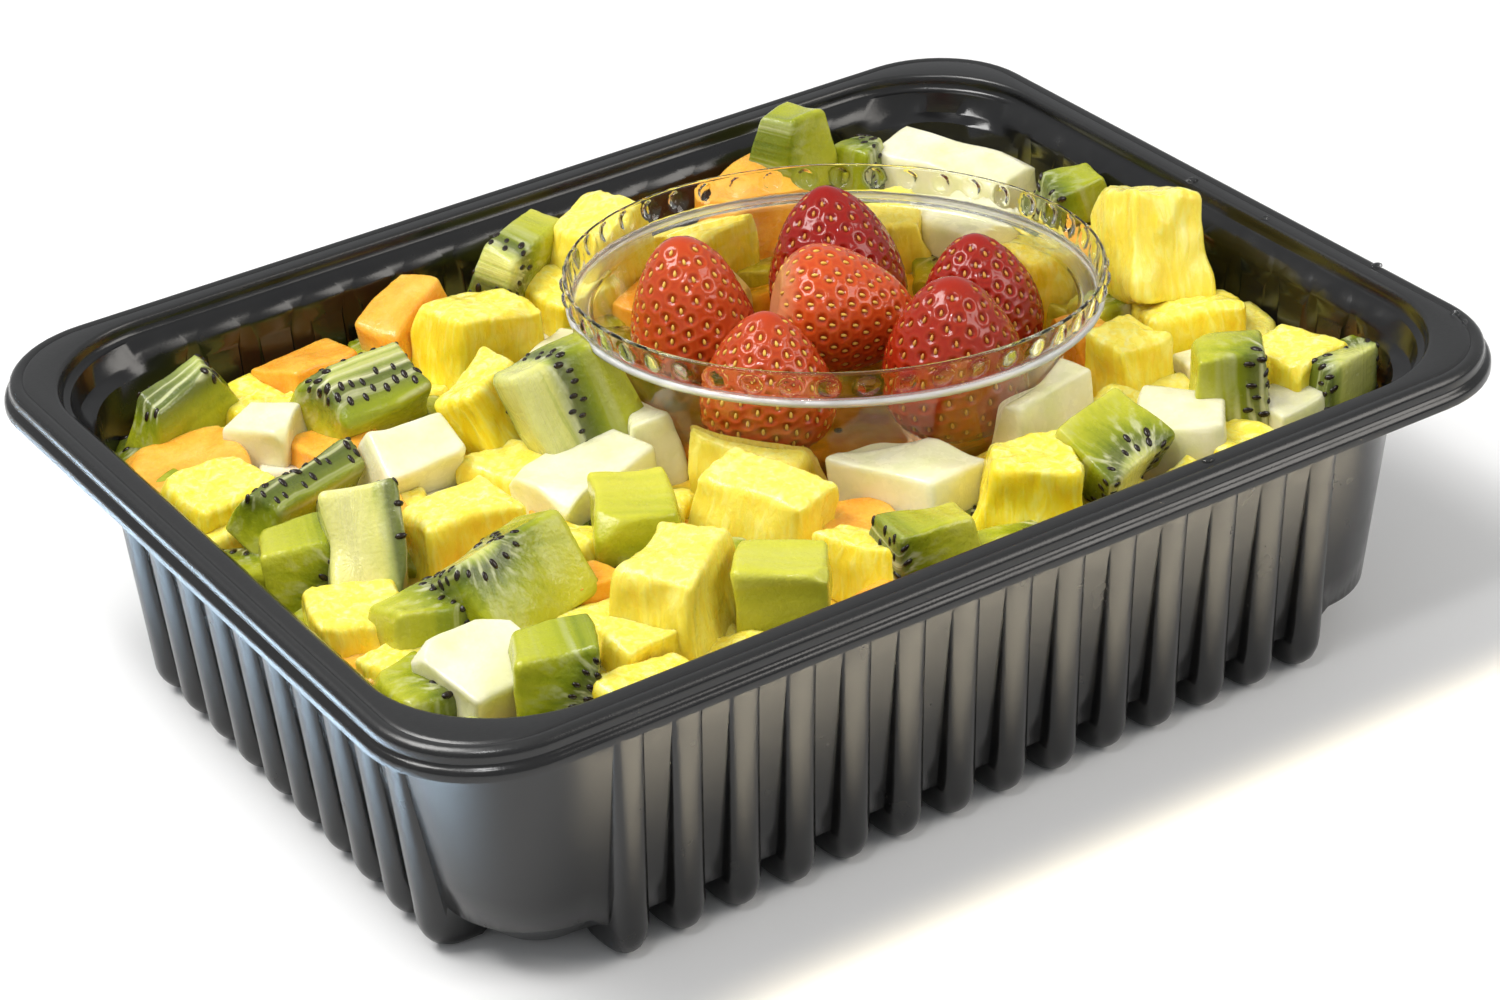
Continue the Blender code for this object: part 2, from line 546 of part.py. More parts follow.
def food_core():
    """What fills the tray under the pieces that show."""
    foot_height = FLOOR_HEIGHT + SHEET + FOOD_GAP
    return solid_between_rings(
        "fruit_heap",
        (
            rounded_ring(FLOOR_INSET + CORE_SLACK, FOOD_FOOT_RADIUS, foot_height),
            rounded_ring(WALL_FOOT_INSET + CORE_SLACK, FOOD_WALL_RADIUS, FOOD_FOOT_HEIGHT),
            rounded_ring(WALL_FOOT_INSET - CORE_SLACK, FOOD_TOP_RADIUS, CORE_TOP),
        ),
    )


def cup_cutter():
    """The cup's own outer form with a gap round it, carried on up above the rim."""
    bm = bmesh.new()
    profile = [(CUP_RIM_RADIUS + FOOD_GAP, CUTTER_RISE)] + cup_profile(FOOD_GAP)
    rings = turned_rings(bm, profile, CUP_SIDES)
    bm.faces.new(rings[0])
    bm.faces.new(rings[-1])
    cutter = add_object("cup_cutter", mesh_from_bmesh("cup_cutter", bm))
    place_along(cutter, CUP_CENTRE, CUP_AXIS)
    return cutter


def boolean(thing, operation, other):
    step = thing.modifiers.new(operation.lower(), "BOOLEAN")
    step.operation = operation
    if isinstance(other, bpy.types.Collection):
        step.operand_type = "COLLECTION"
        step.collection = other
    else:
        step.object = other


def apply_modifiers(thing):
    graph = bpy.context.evaluated_depsgraph_get()
    mesh = bpy.data.meshes.new_from_object(thing.evaluated_get(graph))
    thing.modifiers.clear()
    thing.data = mesh


def shell_volume(faces):
    """The signed volume inside a shell of triangles."""
    total = 0.0
    for face in faces:
        a, b, c = [vert.co for vert in face.verts]
        total += a.dot(b.cross(c)) / 6
    return total


def shells(bm):
    """The faces of a mesh, sorted into the shells that hang together."""
    left = set(bm.faces)
    found = []
    while left:
        shell = [left.pop()]
        for face in shell:
            for edge in face.edges:
                for near in edge.link_faces:
                    if near in left:
                        left.remove(near)
                        shell.append(near)
        found.append(shell)
    return found


def keep_main_shell(mesh):
    """Drops loose scraps, and fills hollows that fusing has sealed."""
    bm = bmesh.new()
    bm.from_mesh(mesh)
    bmesh.ops.triangulate(bm, faces=bm.faces)
    found = sorted(shells(bm), key=shell_volume)
    for shell in found[:-1]:
        bmesh.ops.delete(bm, geom=shell, context="FACES")
    bm.to_mesh(mesh)
    bm.free()


def make_heap(material):
    """The core with every piece that shows fused on, trimmed to the tray and hollowed for the cup."""
    heap = food_core()
    pieces = bpy.data.collections.new("fruit_pieces")
    for number, (kind, centre, size, turn, top_share) in enumerate(FRUIT):
        rng = random.Random(number)
        piece = fruit_block(f"{kind}_{number}", centre, size, turn, top_share, rng)
        bpy.context.scene.collection.objects.unlink(piece)
        pieces.objects.link(piece)
    boolean(heap, "UNION", pieces)
    apply_modifiers(heap)
    space = food_space()
    hollow = cup_cutter()
    boolean(heap, "INTERSECT", space)
    boolean(heap, "DIFFERENCE", hollow)
    bpy.context.view_layer.update()
    apply_modifiers(heap)
    keep_main_shell(heap.data)
    for helper in [*pieces.objects, space, hollow]:
        bpy.data.objects.remove(helper, do_unlink=True)
    bpy.data.collections.remove(pieces)
    heap.data.materials.clear()
    heap.data.materials.append(material)
    return heap


def main():
    remove_scene_objects()
    make_tray(plain_material("black plastic", (0.012, 0.012, 0.013), 0.28))
    make_cup(plain_material("clear plastic", (0.95, 0.96, 0.96), 0.05, alpha=0.25))
    make_heap(plain_material("mixed cut fruit", (0.86, 0.62, 0.09), 0.35))
    red = plain_material("strawberry", (0.60, 0.035, 0.02), 0.28)
    for name, centre, length, width, tip in STRAWBERRIES:
        make_berry(name, centre, length, width, tip, red)


main()
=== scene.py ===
"""The looks of a black ribbed plastic tray of cut fruit, packed round a clear cup of strawberries.

Lengths are in metres, in the frame of the model's solids: the origin is at the middle of the tray's
underside, +Z is up and +X runs along the tray's long side. Names that end in _MM are in millimetres.
"""

import math
import random
from itertools import product

import bpy
import numpy as np
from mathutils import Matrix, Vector


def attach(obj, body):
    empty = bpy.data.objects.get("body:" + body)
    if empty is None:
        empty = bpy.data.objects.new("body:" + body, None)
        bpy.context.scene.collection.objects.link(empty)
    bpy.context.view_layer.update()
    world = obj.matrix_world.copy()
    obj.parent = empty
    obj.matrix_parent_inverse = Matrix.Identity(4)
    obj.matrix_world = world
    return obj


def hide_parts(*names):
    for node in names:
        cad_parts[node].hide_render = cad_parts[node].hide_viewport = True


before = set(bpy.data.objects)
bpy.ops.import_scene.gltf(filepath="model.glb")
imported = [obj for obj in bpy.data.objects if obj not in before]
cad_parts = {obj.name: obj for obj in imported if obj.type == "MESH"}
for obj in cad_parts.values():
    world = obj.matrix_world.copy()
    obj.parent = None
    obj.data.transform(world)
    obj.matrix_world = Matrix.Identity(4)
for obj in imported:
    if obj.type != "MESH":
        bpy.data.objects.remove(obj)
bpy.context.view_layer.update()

MM = 0.001

# The tray's driving dimensions, as in its solid
TRAY_LENGTH = 0.227
TRAY_WIDTH = 0.178
TRAY_HEIGHT = 0.060
SHEET = 0.0008
RIM_CORNER_RADIUS = 0.0227
OPENING_INSET = 0.007
OPENING_CORNER_RADIUS = 0.026
WALL_CORNER_INSET = 0.0345
WALL_TOP_INSET = 0.0102
WALL_FOOT_INSET = 0.0170
FLOOR_INSET = 0.0255
FLOOR_HEIGHT = 0.0025
PANEL_FOOT_HEIGHT = 0.0080
CORNER_FOOT_HEIGHT = 0.0105
CHAMFER_DROP = 0.0008
CHAMFER_STEP = 0.0009
WALL_LEAN = 0.0008
POCKET_DEPTH = 0.0024
POCKET_OUT_SHARE = 0.5
POCKET_IN_SHARE = 0.3
POCKET_TOP_DROP = 0.0018
POCKET_SHELF_RISE = 0.0016
RIB_PITCH = 0.01112
RIBS_LONG_SIDE = 14
RIBS_SHORT_SIDE = 10
RIB_TOP = 0.0500
RIB_FADE_TOP = 0.0540
TOE_INSET = 0.0136
TOE_RADIUS = 0.0064
TOE_FLAT = 0.0035
TOE_TURNS = range(0, 91, 10)
CREST_LEAN = 0.0003
RIB_SIDE_SHARE = 0.6
RIB_ROUNDNESS = 2.6

# How far below the flange its matt finish starts to turn into the walls' gloss and where it ends,
# and the least angle in degrees that stays sharp
MATT_DROP = 0.0001
GLOSS_DROP = 0.0010
SHARP_ANGLE = 50

# Across a rib from side to side, as shares of its half width, and half its width from top to floor
RIB_STEPS = (-1.0, -0.93, -0.78, -0.55, -0.28, 0.0, 0.28, 0.55, 0.78, 0.93, 1.0)
RIB_FADE_HALF = 0.0014
RIB_TOP_HALF = 0.0028
RIB_WALL_HALF = 0.0036
RIB_FLOOR_HALF = 0.0033
FADE_STEPS = 4
WALL_STEPS = 6
CORNER_STEPS = 14

# The rim over lip, groove, bead and flange: inset from the outermost edge, and drop below its top
LIP_PROFILE = (
    (0.0000, 0.0050),
    (0.0000, 0.0040),
    (0.0002, 0.0034),
    (0.0007, 0.0030),
    (0.0012, 0.0027),
    (0.0013, 0.0023),
    (0.0012, 0.0014),
    (0.0014, 0.0008),
    (0.0018, 0.0004),
    (0.0023, 0.0001),
    (0.0028, 0.0000),
    (0.0035, 0.0001),
    (0.0038, 0.0003),
    (0.0041, 0.0001),
    (0.0045, 0.0000),
)
LEDGE_PROFILE = (
    (-0.0008, 0.0000),
    (-0.0003, 0.0001),
    (0.0000, 0.0005),
    (0.0002, 0.0016),
    (0.0004, 0.0026),
    (0.0009, 0.0030),
    (0.0018, 0.0031),
)

# The cup's driving dimensions, as in its solid
CUP_CENTRE = Vector((0.0252, 0.0053, 0.0680))
CUP_AXIS = Vector((0.06, 0.05, 1.0))
CUP_RIM_RADIUS = 0.0501
CUP_EDGE_INSET = 0.0004
CUP_EDGE_DROP = 0.0003
SKIRT_LEAN = 0.0012
SKIRT_HEIGHT = 0.0052
SKIRT_STEPS = 12
CUP_BOWL_RADIUS = 0.0453
CUP_BASE_RADIUS = 0.0350
CUP_DEPTH = 0.0355
CUP_BOWL_TOP = -0.0088
CUP_BOWL_FOOT_RISE = 0.0013
CUP_BOWL_STEPS = 60
CUP_BASE_RISE = 0.0009
CUP_BASE_HUB = 0.0008
CUP_INNER_HUB = 0.0004
CUP_SHEET = 0.0006
CUP_SIDES = 480
BUMPS = 46
BUMP_RADIUS = 0.0019
BUMP_HEIGHT = 0.0012
BUMP_INNER_SHARE = 0.45
BUMP_DROP = 0.0029
BUMP_ROUNDNESS = 0.6
THREAD_PITCH = 0.0014
THREAD_DEPTH = 0.00008
THREAD_START = 0.45
JUICE_TOP = 0.058
JUICE_FADE = 0.012

# The bead at the foot of the cup's skirt, and the neck where its bowl starts: how far each point is
# beyond the skirt's foot or the bowl, and its drop. Then the edge of its base: inset and rise
CUP_FOOT_RING = (
    (0.0006, 0.0057),
    (0.0009, 0.0061),
    (0.0009, 0.0065),
    (0.0006, 0.0069),
    (-0.0001, 0.0071),
    (-0.0012, 0.0070),
    (-0.0022, 0.0068),
)
CUP_NECK = ((0.0008, 0.0070), (0.0002, 0.0074), (0.0004, 0.0079), (0.0001, 0.0084))
CUP_BASE = ((0.0004, 0.0005), (0.0013, 0.0), (0.0040, 0.0), (0.0060, 0.0008))
# The bead where the sheet is less clear, and so whiter, as a painted highlight: its lowest and highest
# heights, and its least radius
BEAD_HIGHLIGHT_HEIGHTS = (-0.0072, -0.0056)
BEAD_HIGHLIGHT_INNER_RADIUS = 0.0482

# How far the food stays from the cup, and how far in from the tray's edge it stays
CUP_GAP = 0.0005
FOOD_BOWL_TOP = -0.0078
FOOD_SKIRT_FOOT = -0.0068
FOOD_WALL_INSET = 0.0122
FOOD_RIM_INSET = 0.0092
FOOD_FOOT_INSET = 0.0182
FOOD_FOOT_LEVEL = 0.008
FOOD_RIM_LEVEL = 0.057

# Each strawberry: name, middle, length, greatest width, the way its tip points, and its ripeness
STRAWBERRIES = (
    ("strawberry_left", (0.0044, 0.0234, 0.0580), 0.029, 0.025, (-0.10, 0.05, 1.0), 0.35),
    ("strawberry_back", (0.0397, 0.0278, 0.0552), 0.029, 0.0265, (0.00, 0.20, 1.0), 0.95),
    ("strawberry_centre", (0.0275, 0.0052, 0.0567), 0.0281, 0.0251, (0.80, -0.43, -0.25), 0.20),
    ("strawberry_right_back", (0.0520, -0.0022, 0.0550), 0.025, 0.0240, (0.02, 0.12, 1.0), 0.90),
    ("strawberry_right_front", (0.0334, -0.0202, 0.0570), 0.030, 0.027, (0.00, 0.00, 1.0), 0.80),
    ("strawberry_front_left", (0.0025, -0.0056, 0.0560), 0.026, 0.025, (0.05, 0.05, 1.0), 0.40),
)
RIPE_RED = Vector((0.27, 0.003, 0.003))
UNRIPE_RED = Vector((0.60, 0.072, 0.009))
# The tint of the painted highlight on the dimples' rims, less on riper berries
RIM_PAINTED_HIGHLIGHT = Vector((0.13, 0.050, 0.010))
BERRY_SQUASH = 0.94
BERRY_SHOULDER = 0.6
BERRY_FULLNESS = 0.55
BERRY_SIDES = 160
BERRY_RINGS = 104
ACHENES = 205
ACHENE_START = 0.03
ACHENE_SPREAD = 0.955
ACHENE_RING_WANDER = 0.7
ACHENE_TURN_WANDER = 0.05
DIMPLE_RADIUS = 0.00085
DIMPLE_DEPTH = 0.00045
DIMPLE_RIM_RADIUS = 0.00128
DIMPLE_RIM_WIDTH = 0.00034
DIMPLE_RIM_HEIGHT = 0.00018
ACHENE_SIZE = (0.00040, 0.00066, 0.00036)
ACHENE_RISE = 0.00016
ACHENE_TAPER = 0.35
BERRY_LUMP = 0.0005
BERRY_LUMP_SPACING = 0.0085
BERRY_PLAIN_ENDS = 0.05
BERRY_HULL_DEPTH = 0.0012
BERRY_TIP_INSET = 0.0001
RIPE_FROM = 0.6
# The skin's painted light: the plain skin's level, raised towards 1 on a rim as a painted highlight and
# lowered in a dimple as painted shade
RELIEF_LEVEL = 0.55
PIT_PAINTED_SHADE = 0.9

# How far a block's corners wander, as a share of its sides, how finely its surface is divided, how
# much closer its points lie near its edges, and the greatest share of its thickness that an edge's
# radius takes
CORNER_JITTER = 0.09
BLOCK_STEPS = 20
EDGE_EASING = 0.55
THICKEST_EDGE = 0.45

# Each piece of fruit: kind, middle and size in millimetres, turn in degrees about Z, X and Y, and
# how much of its foot's two sides its top has
FRUIT_MM = (
    ("kiwi", (-82, 65, 48), (27, 11, 13), (15, 10, -6), (0.5, 0.6)),
    ("cantaloupe", (-88, 49, 40), (18, 20, 14), (-8, 0, 0), (1.0, 1.0)),
    ("honeydew", (-72, 48, 44), (13, 14, 14), (35, 0, 0), (0.8, 0.9)),
    ("kiwi", (-54, 43, 50), (21, 13, 14), (3, 35, 0), (0.95, 0.9)),
    ("cantaloupe", (-33, 68, 47.5), (20, 12, 12), (25, 0, -10), (0.7, 0.8)),
    ("pineapple", (-25, 53, 49), (21, 16, 15), (5, 0, 0), (0.9, 0.9)),
    ("kiwi", (-7, 68, 54), (23, 10, 12), (28, 10, 0), (0.8, 0.7)),
    ("pineapple", (9, 63.5, 51), (20, 18, 20), (20, 0, 0), (0.8, 0.8)),
    ("pineapple", (-2, 59, 44), (18, 16, 16), (10, 0, 0), (0.9, 0.9)),
    ("pineapple", (-38, 23, 49), (18, 11, 21), (14, -20, -18), (0.9, 0.9)),
    ("kiwi", (-29, 10, 55), (23, 10, 20), (4, -20, -6), (0.95, 0.9)),
    ("honeydew", (-57, 21, 47), (18, 14, 16), (-3, 30, 0), (0.95, 0.9)),
    ("cantaloupe", (-64, 40, 42), (16, 12, 11), (10, 0, 0), (0.9, 0.9)),
    ("kiwi", (-80, 21, 49), (26, 10, 12), (20, 30, 6), (0.9, 0.5)),
    ("pineapple", (-90, 34, 43), (18, 16, 14), (5, 0, 0), (0.9, 0.9)),
    ("kiwi", (-90.5, 1.5, 47), (16, 15, 15), (-20, 0, 0), (0.8, 0.8)),
    ("kiwi", (-81, -5, 51), (13, 11, 21), (-20, -30, 0), (0.9, 0.9)),
    ("pineapple", (-62, -6, 46), (21, 16, 15), (-5, 0, 0), (0.8, 0.8)),
    ("kiwi", (-66, -31, 50), (23, 10, 18), (15, -35, -4), (0.95, 0.9)),
    ("kiwi", (-83, -29, 47), (15, 13, 14), (0, 0, 0), (0.85, 0.8)),
    ("pineapple", (-90.5, -19.5, 44), (17, 15, 14), (-20, 0, 0), (0.9, 0.9)),
    ("pineapple", (-91, -34, 43), (12, 12, 10), (10, 0, 0), (0.9, 0.9)),
    ("honeydew", (-82, -48, 45), (19, 15, 15), (5, 15, 0), (0.95, 0.95)),
    ("kiwi", (-73, -57, 48), (17, 15, 15), (-20, 0, 0), (0.8, 0.8)),
    ("pineapple", (-56, -56, 45), (17, 12, 12), (0, 0, 0), (0.9, 0.9)),
    ("cantaloupe", (-52, -32, 43), (10, 10, 9), (10, 0, 0), (0.9, 0.9)),
    ("kiwi", (-38, -24, 49), (15, 16, 12), (-25, 0, 0), (0.9, 0.95)),
    ("honeydew", (-34, -3, 44), (25, 16, 14), (10, 0, 0), (0.95, 0.9)),
    ("honeydew", (-18, 2, 46), (10, 12, 16), (-20, 0, 0), (0.7, 0.8)),
    ("pineapple", (-46, -51, 50), (23, 17, 19), (35, 0, 0), (0.8, 0.8)),
    ("pineapple", (-8, -17, 45), (12, 21, 15), (30, 0, 0), (0.9, 0.95)),
    ("pineapple", (-17, -33, 48), (14, 22, 15), (20, 0, 0), (0.8, 0.9)),
    ("pineapple", (-11, -58, 46), (11, 19, 12), (25, 0, 0), (0.8, 0.9)),
    ("kiwi", (-31, -60, 50), (16, 13, 13), (-35, 0, 0), (0.9, 0.9)),
    ("honeydew", (9, -39, 45), (15, 24, 16), (20, 0, 0), (0.95, 0.95)),
    ("kiwi", (-4, -63, 50), (17, 13, 11), (-5, 0, 0), (0.9, 0.9)),
    ("pineapple", (23, -57, 48), (20, 17, 15), (-35, 0, 0), (0.8, 0.8)),
    ("honeydew", (41, -33, 46), (22, 16, 16), (8, 0, 0), (0.9, 0.9)),
    ("kiwi", (40, -58, 51), (19, 16, 10), (15, 25, 0), (0.95, 0.95)),
    ("honeydew", (58, -55, 46), (17, 17, 12), (-40, 0, 0), (0.9, 0.9)),
    ("pineapple", (67, -29, 46), (15, 14, 14), (10, 0, 0), (0.85, 0.85)),
    ("pineapple", (88, -9, 57), (17, 19, 20), (-10, -26, 11), (1.0, 1.0)),
    ("pineapple", (87, -22, 45), (20, 13, 12), (-20, 0, 0), (0.85, 0.85)),
    ("kiwi", (70, -54, 51), (14, 13, 17), (-30, 0, 0), (0.95, 0.9)),
    ("pineapple", (87, -52, 47), (17, 15, 15), (10, 0, 0), (0.8, 0.85)),
    ("kiwi", (91.5, -58.5, 49), (15, 11, 11), (5, 0, 0), (0.95, 0.9)),
    ("honeydew", (79, -59, 44), (13, 12, 10), (0, 0, 0), (0.9, 0.9)),
    ("pineapple", (64, -63, 44), (14, 12, 9), (0, 0, 0), (0.9, 0.9)),
    ("kiwi", (94.5, 25, 52), (16, 10, 10), (0, 0, 0), (0.9, 0.8)),
    ("honeydew", (86, 53, 47), (14, 33, 14), (24, 0, 0), (0.9, 0.9)),
    ("kiwi", (57.5, 69, 57.5), (16, 12, 16), (20, 0, 0), (0.5, 0.7)),
    ("kiwi", (71, 66, 49), (12, 11, 14), (20, 0, 0), (0.8, 0.8)),
    ("cantaloupe", (45, 65, 47), (24, 18, 18), (10, 0, 0), (0.8, 0.8)),
    ("pineapple", (76, 10, 45), (16, 16, 16), (0, 0, 0), (0.85, 0.85)),
    ("cantaloupe", (67, -15, 44), (10, 10, 10), (0, 0, 0), (0.9, 0.9)),
    ("kiwi", (76, -10, 44), (11, 10, 10), (15, 0, 0), (0.9, 0.9)),
    ("cantaloupe", (-4, -43, 41), (16, 13, 10), (-20, 0, 0), (0.9, 0.9)),
    ("pineapple", (-61, 60, 41), (12, 11, 10), (0, 0, 0), (0.9, 0.9)),
    ("pineapple", (-44, 11, 43), (15, 14, 12), (20, 0, 0), (0.9, 0.9)),
    ("pineapple", (29, 59, 46), (19, 16, 16), (12, 0, 0), (0.9, 0.85)),
    ("cantaloupe", (11, 49, 42), (16, 12, 13), (20, 0, 0), (0.9, 0.9)),
    ("pineapple", (61, 45, 45), (18, 16, 15), (-20, 0, 0), (0.85, 0.9)),
    ("honeydew", (75, 34, 44), (16, 17, 14), (15, 0, 0), (0.9, 0.9)),
    ("cantaloupe", (90, 12, 43), (16, 14, 13), (-8, 0, 0), (0.9, 0.9)),
    ("honeydew", (90, 65, 41), (13, 12, 12), (40, 0, 0), (0.9, 0.9)),
    ("cantaloupe", (-53, 69, 42), (18, 13, 13), (10, 0, 0), (0.9, 0.9)),
    ("pineapple", (-47, 57, 42), (14, 13, 13), (-15, 0, 0), (0.9, 0.9)),
    ("kiwi", (-31, 37, 43), (17, 14, 13), (20, 0, 0), (0.9, 0.9)),
    ("honeydew", (-11, 40, 42), (16, 15, 13), (40, 0, 0), (0.9, 0.9)),
    ("cantaloupe", (-73, 9, 42), (16, 14, 13), (-10, 0, 0), (0.9, 0.9)),
    ("pineapple", (-48, -17, 42), (14, 13, 12), (30, 0, 0), (0.9, 0.9)),
    ("kiwi", (-29, -44, 42), (14, 13, 12), (10, 0, 0), (0.9, 0.9)),
    ("pineapple", (56, -41, 42), (14, 13, 12), (20, 0, 0), (0.9, 0.9)),
    ("honeydew", (82, -37, 41), (15, 13, 12), (-15, 0, 0), (0.9, 0.9)),
    ("kiwi", (-93, -44, 42), (10, 14, 12), (0, 0, 0), (0.9, 0.9)),
    ("pineapple", (-62, -67, 42), (19, 12, 13), (5, 0, 0), (0.9, 0.9)),
    ("cantaloupe", (-16, -68, 41), (13, 10, 12), (0, 0, 0), (0.9, 0.9)),
    ("kiwi", (12, -67, 42), (16, 11, 12), (-5, 0, 0), (0.9, 0.9)),
    ("pineapple", (47, -69, 41), (17, 10, 12), (4, 0, 0), (0.9, 0.9)),
)

FRUIT = tuple(
    (kind, tuple(value * MM for value in centre), tuple(value * MM for value in size), turn, top_share)
    for kind, centre, size, turn, top_share in FRUIT_MM
)

# For each kiwi piece by its place in FRUIT: a point of the fruit's own axis in millimetres from the
# middle of the piece, along the piece's own sides, which of its sides that axis runs along, and
# how many seeds it shows at most
KIWI_AXES = {
    0: ((0, 2, 13), "x", 6),
    3: ((0, 5.5, 13), "x", 22),
    6: ((-14, 5, 6), "y", 16),
    10: ((-10, -3, 0), "z", 17),
    13: ((0, 6, 12), "x", 14),
    15: ((11, 0, -4), "y", 11),
    16: ((-2, -5, 0), "z", 7),
    18: ((-5, 0, 13.5), "y", 22),
    19: ((12, 1, 0), "z", 11),
    23: ((10, 0, -3), "y", 15),
    26: ((0, -8, -13), "x", 8),
    33: ((0, 0, -24), "x", 0),
    35: ((-15, 0, 0), "y", 17),
    38: ((-2, -11, 0), "z", 18),
    43: ((11, -9, 0), "z", 15),
    45: ((0.5, -6.5, 0), "z", 18),
    48: ((-14, 0, 0), "z", 9),
    50: ((-16, 0, 6), "y", 3),
    51: ((9, -6, 0), "z", 12),
}
PLAIN_KIWI_AXIS = ((11, -5, 0), "z", 6)
KIWI_RADIUS_MM = 24.0
SEED_RING_MM = (6.6, 9.8)
SEED_SPACING_MM = 2.0
SEED_SINK = 0.00008
SHOWN_SIDE = np.array((-0.46, -0.74, 0.49))
SEED_SIZE = (0.00106, 0.00058, 0.00040)
SEED_SCALE = (0.8, 1.15)
SEED_SIDES = 8
SEED_RINGS = 6

# For each kind of fruit: its edges' radius, then the height and the spacing of its lumps, and of its
# fine grain, and how much longer the grain is along its fibres
FINISH = {
    "kiwi": (0.0013, 0.00055, 0.0070, 0.00008, 0.0018, 1.0),
    "pineapple": (0.0014, 0.00095, 0.0052, 0.00028, 0.0017, 3.0),
    "honeydew": (0.0010, 0.00050, 0.0075, 0.00006, 0.0018, 1.0),
    "cantaloupe": (0.0010, 0.00050, 0.0070, 0.00010, 0.0017, 1.0),
}

# Low pieces side by side over the core, which fill the gaps between the pieces on top
FILLER_PITCH = 0.0136
FILLER_COLUMNS = 7
FILLER_ROWS = 5
FILLER_JITTER = 0.0022
FILLER_TOP = 0.0447
FILLER_TOP_SPREAD = 0.0014
FILLER_LENGTH = (0.0122, 0.0158)
FILLER_DEPTH = (0.0100, 0.0125)
FILLER_TILT = 13.0
FILLER_TOP_SHARE = (0.95, 0.95)
FILLER_CUP_REACH = 0.0445
FILLER_COVERED = 0.0050
FILLER_STEPS = 10
FILLER_KINDS = ("pineapple", "honeydew", "kiwi", "cantaloupe", "pineapple", "kiwi")

# How far a piece's sides wander, over what length, and the corners that the knife took off
WARP = 0.0010
WARP_LENGTH = 0.0100
CORNER_CUTS = 3
CUT_REACH = (0.78, 0.93)
CUT_LEAN = (0.35, 1.0)
CUT_FLATNESS = 0.9

# The plain core under the pieces
CORE_STEPS_X = 150
CORE_STEPS_Y = 116
CORE_LEVEL = 0.0405
CORE_FOOT = 0.0150
CORE_FOOT_SHARE = 0.97
CORE_LUMP = 0.0030
CORE_LUMP_SPACING = 0.0090
CORE_GRAIN = 0.0007
CORE_GRAIN_SPACING = 0.0035
CORE_CUP_GAP = 0.0008
CORE_RIM_GAP = 0.001
CORE_FREE_HEIGHT = 0.02

# Droplets of water on the flange: place on the tray, and radius
DROPLETS = (
    ((0.1074, 0.0031), 0.0013),
    ((0.1076, -0.0186), 0.0009),
    ((0.1108, -0.0468), 0.0012),
    ((0.1092, -0.0700), 0.0010),
    ((0.1084, -0.0735), 0.0006),
    ((0.0413, -0.0836), 0.0012),
)
DROPLET_HEIGHT = 0.00055
DROPLET_NARROWNESS = 0.8
DROPLET_SIDES = 32
DROPLET_RINGS = 20

# The floor, the spread of a light that isn't narrowed, the sky's brighter side and its strength on
# the darker and the brighter side, and the camera
FLOOR_SIZE = 8.0
WIDE = 180.0
BRIGHT_SIDE = (-0.45, -0.75, 0.48)
SKY_STRENGTH = (0.44, 0.48)
LENS_MM = 95.28
SENSOR_WIDTH_MM = 36.0
CAMERA_PLACE = (-0.33068, -0.54191, 0.39856)
CAMERA_TURN = (59.729, 3.074, -33.234)


# Smooth noise: its table's length, and the primes that spread its cells over the table
NOISE_VALUES = 4096
NOISE_PRIMES = np.array((73856093, 19349663, 83492791))

# What is added to a piece's number to start each of its own rows of random numbers, and how far
# apart the pieces lie in the space of their noise
TONE_START = 300
FINE_START = 500
FINER_START = 900
WARP_START = 1200
WARP_STEP = 97
CUT_START = 2000
PIP_START = 70
BERRY_START = 40
FILLER_START = 4321
CORE_STARTS = (11, 12)
NOISE_STEP = 7.3
BERRY_NOISE_STEP = 3.1
GRAIN_STEP_MM = 41.0
FINER_SCALE = 2.1
FINER_SHARE = 0.5


# Making meshes


def mesh_object(name, points, faces, material):
    """A smooth piece made from arrays of points and faces, riding on the part's one body."""
    mesh = bpy.data.meshes.new(name)
    mesh.from_pydata(np.asarray(points).tolist(), [], [list(face) for face in faces])
    mesh.validate()
    mesh.update()
    mesh.shade_smooth()
    mesh.materials.append(material)
    thing = bpy.data.objects.new(name, mesh)
    bpy.context.scene.collection.objects.link(thing)
    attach(thing, "root")
    return thing


def store_floats(thing, name, values):
    layer = thing.data.attributes.new(name, "FLOAT", "POINT")
    layer.data.foreach_set("value", np.asarray(values, np.float32).ravel())


def store_vectors(thing, name, values):
    layer = thing.data.attributes.new(name, "FLOAT_VECTOR", "POINT")
    layer.data.foreach_set("vector", np.asarray(values, np.float32).ravel())


def smooth_noise(points, seed):
    """One smooth random value from -1 to 1 for each point, with one lattice cell for each unit."""
    table = np.random.RandomState(seed).uniform(-1.0, 1.0, NOISE_VALUES)
    cell = np.floor(points).astype(np.int64)
    part = points - cell
    part = part * part * (3.0 - 2.0 * part)
    total = np.zeros(len(points))
    for corner in product((0, 1), repeat=3):
        x, y, z = ((cell + corner) * NOISE_PRIMES).T
        index = (x ^ y ^ z) % NOISE_VALUES
        total += table[index] * np.where(corner, part, 1.0 - part).prod(axis=1)
    return total


def ring_faces(rings, count, first=0):
    """Quads between rings of as many points each, the points being listed ring by ring."""
    faces = []
    for ring in range(rings - 1):
        a = first + ring * count
        b = a + count
        for i in range(count):
            j = (i + 1) % count
            faces.append((a + i, a + j, b + j, b + i))
    return faces


def fan(tip, start, count, turned=False):
    """Triangles from a tip to each side of a ring, turned to face the other way if need be."""
    faces = [(tip, start + i, start + (i + 1) % count) for i in range(count)]
    return [(tip, second, first) for tip, first, second in faces] if turned else faces


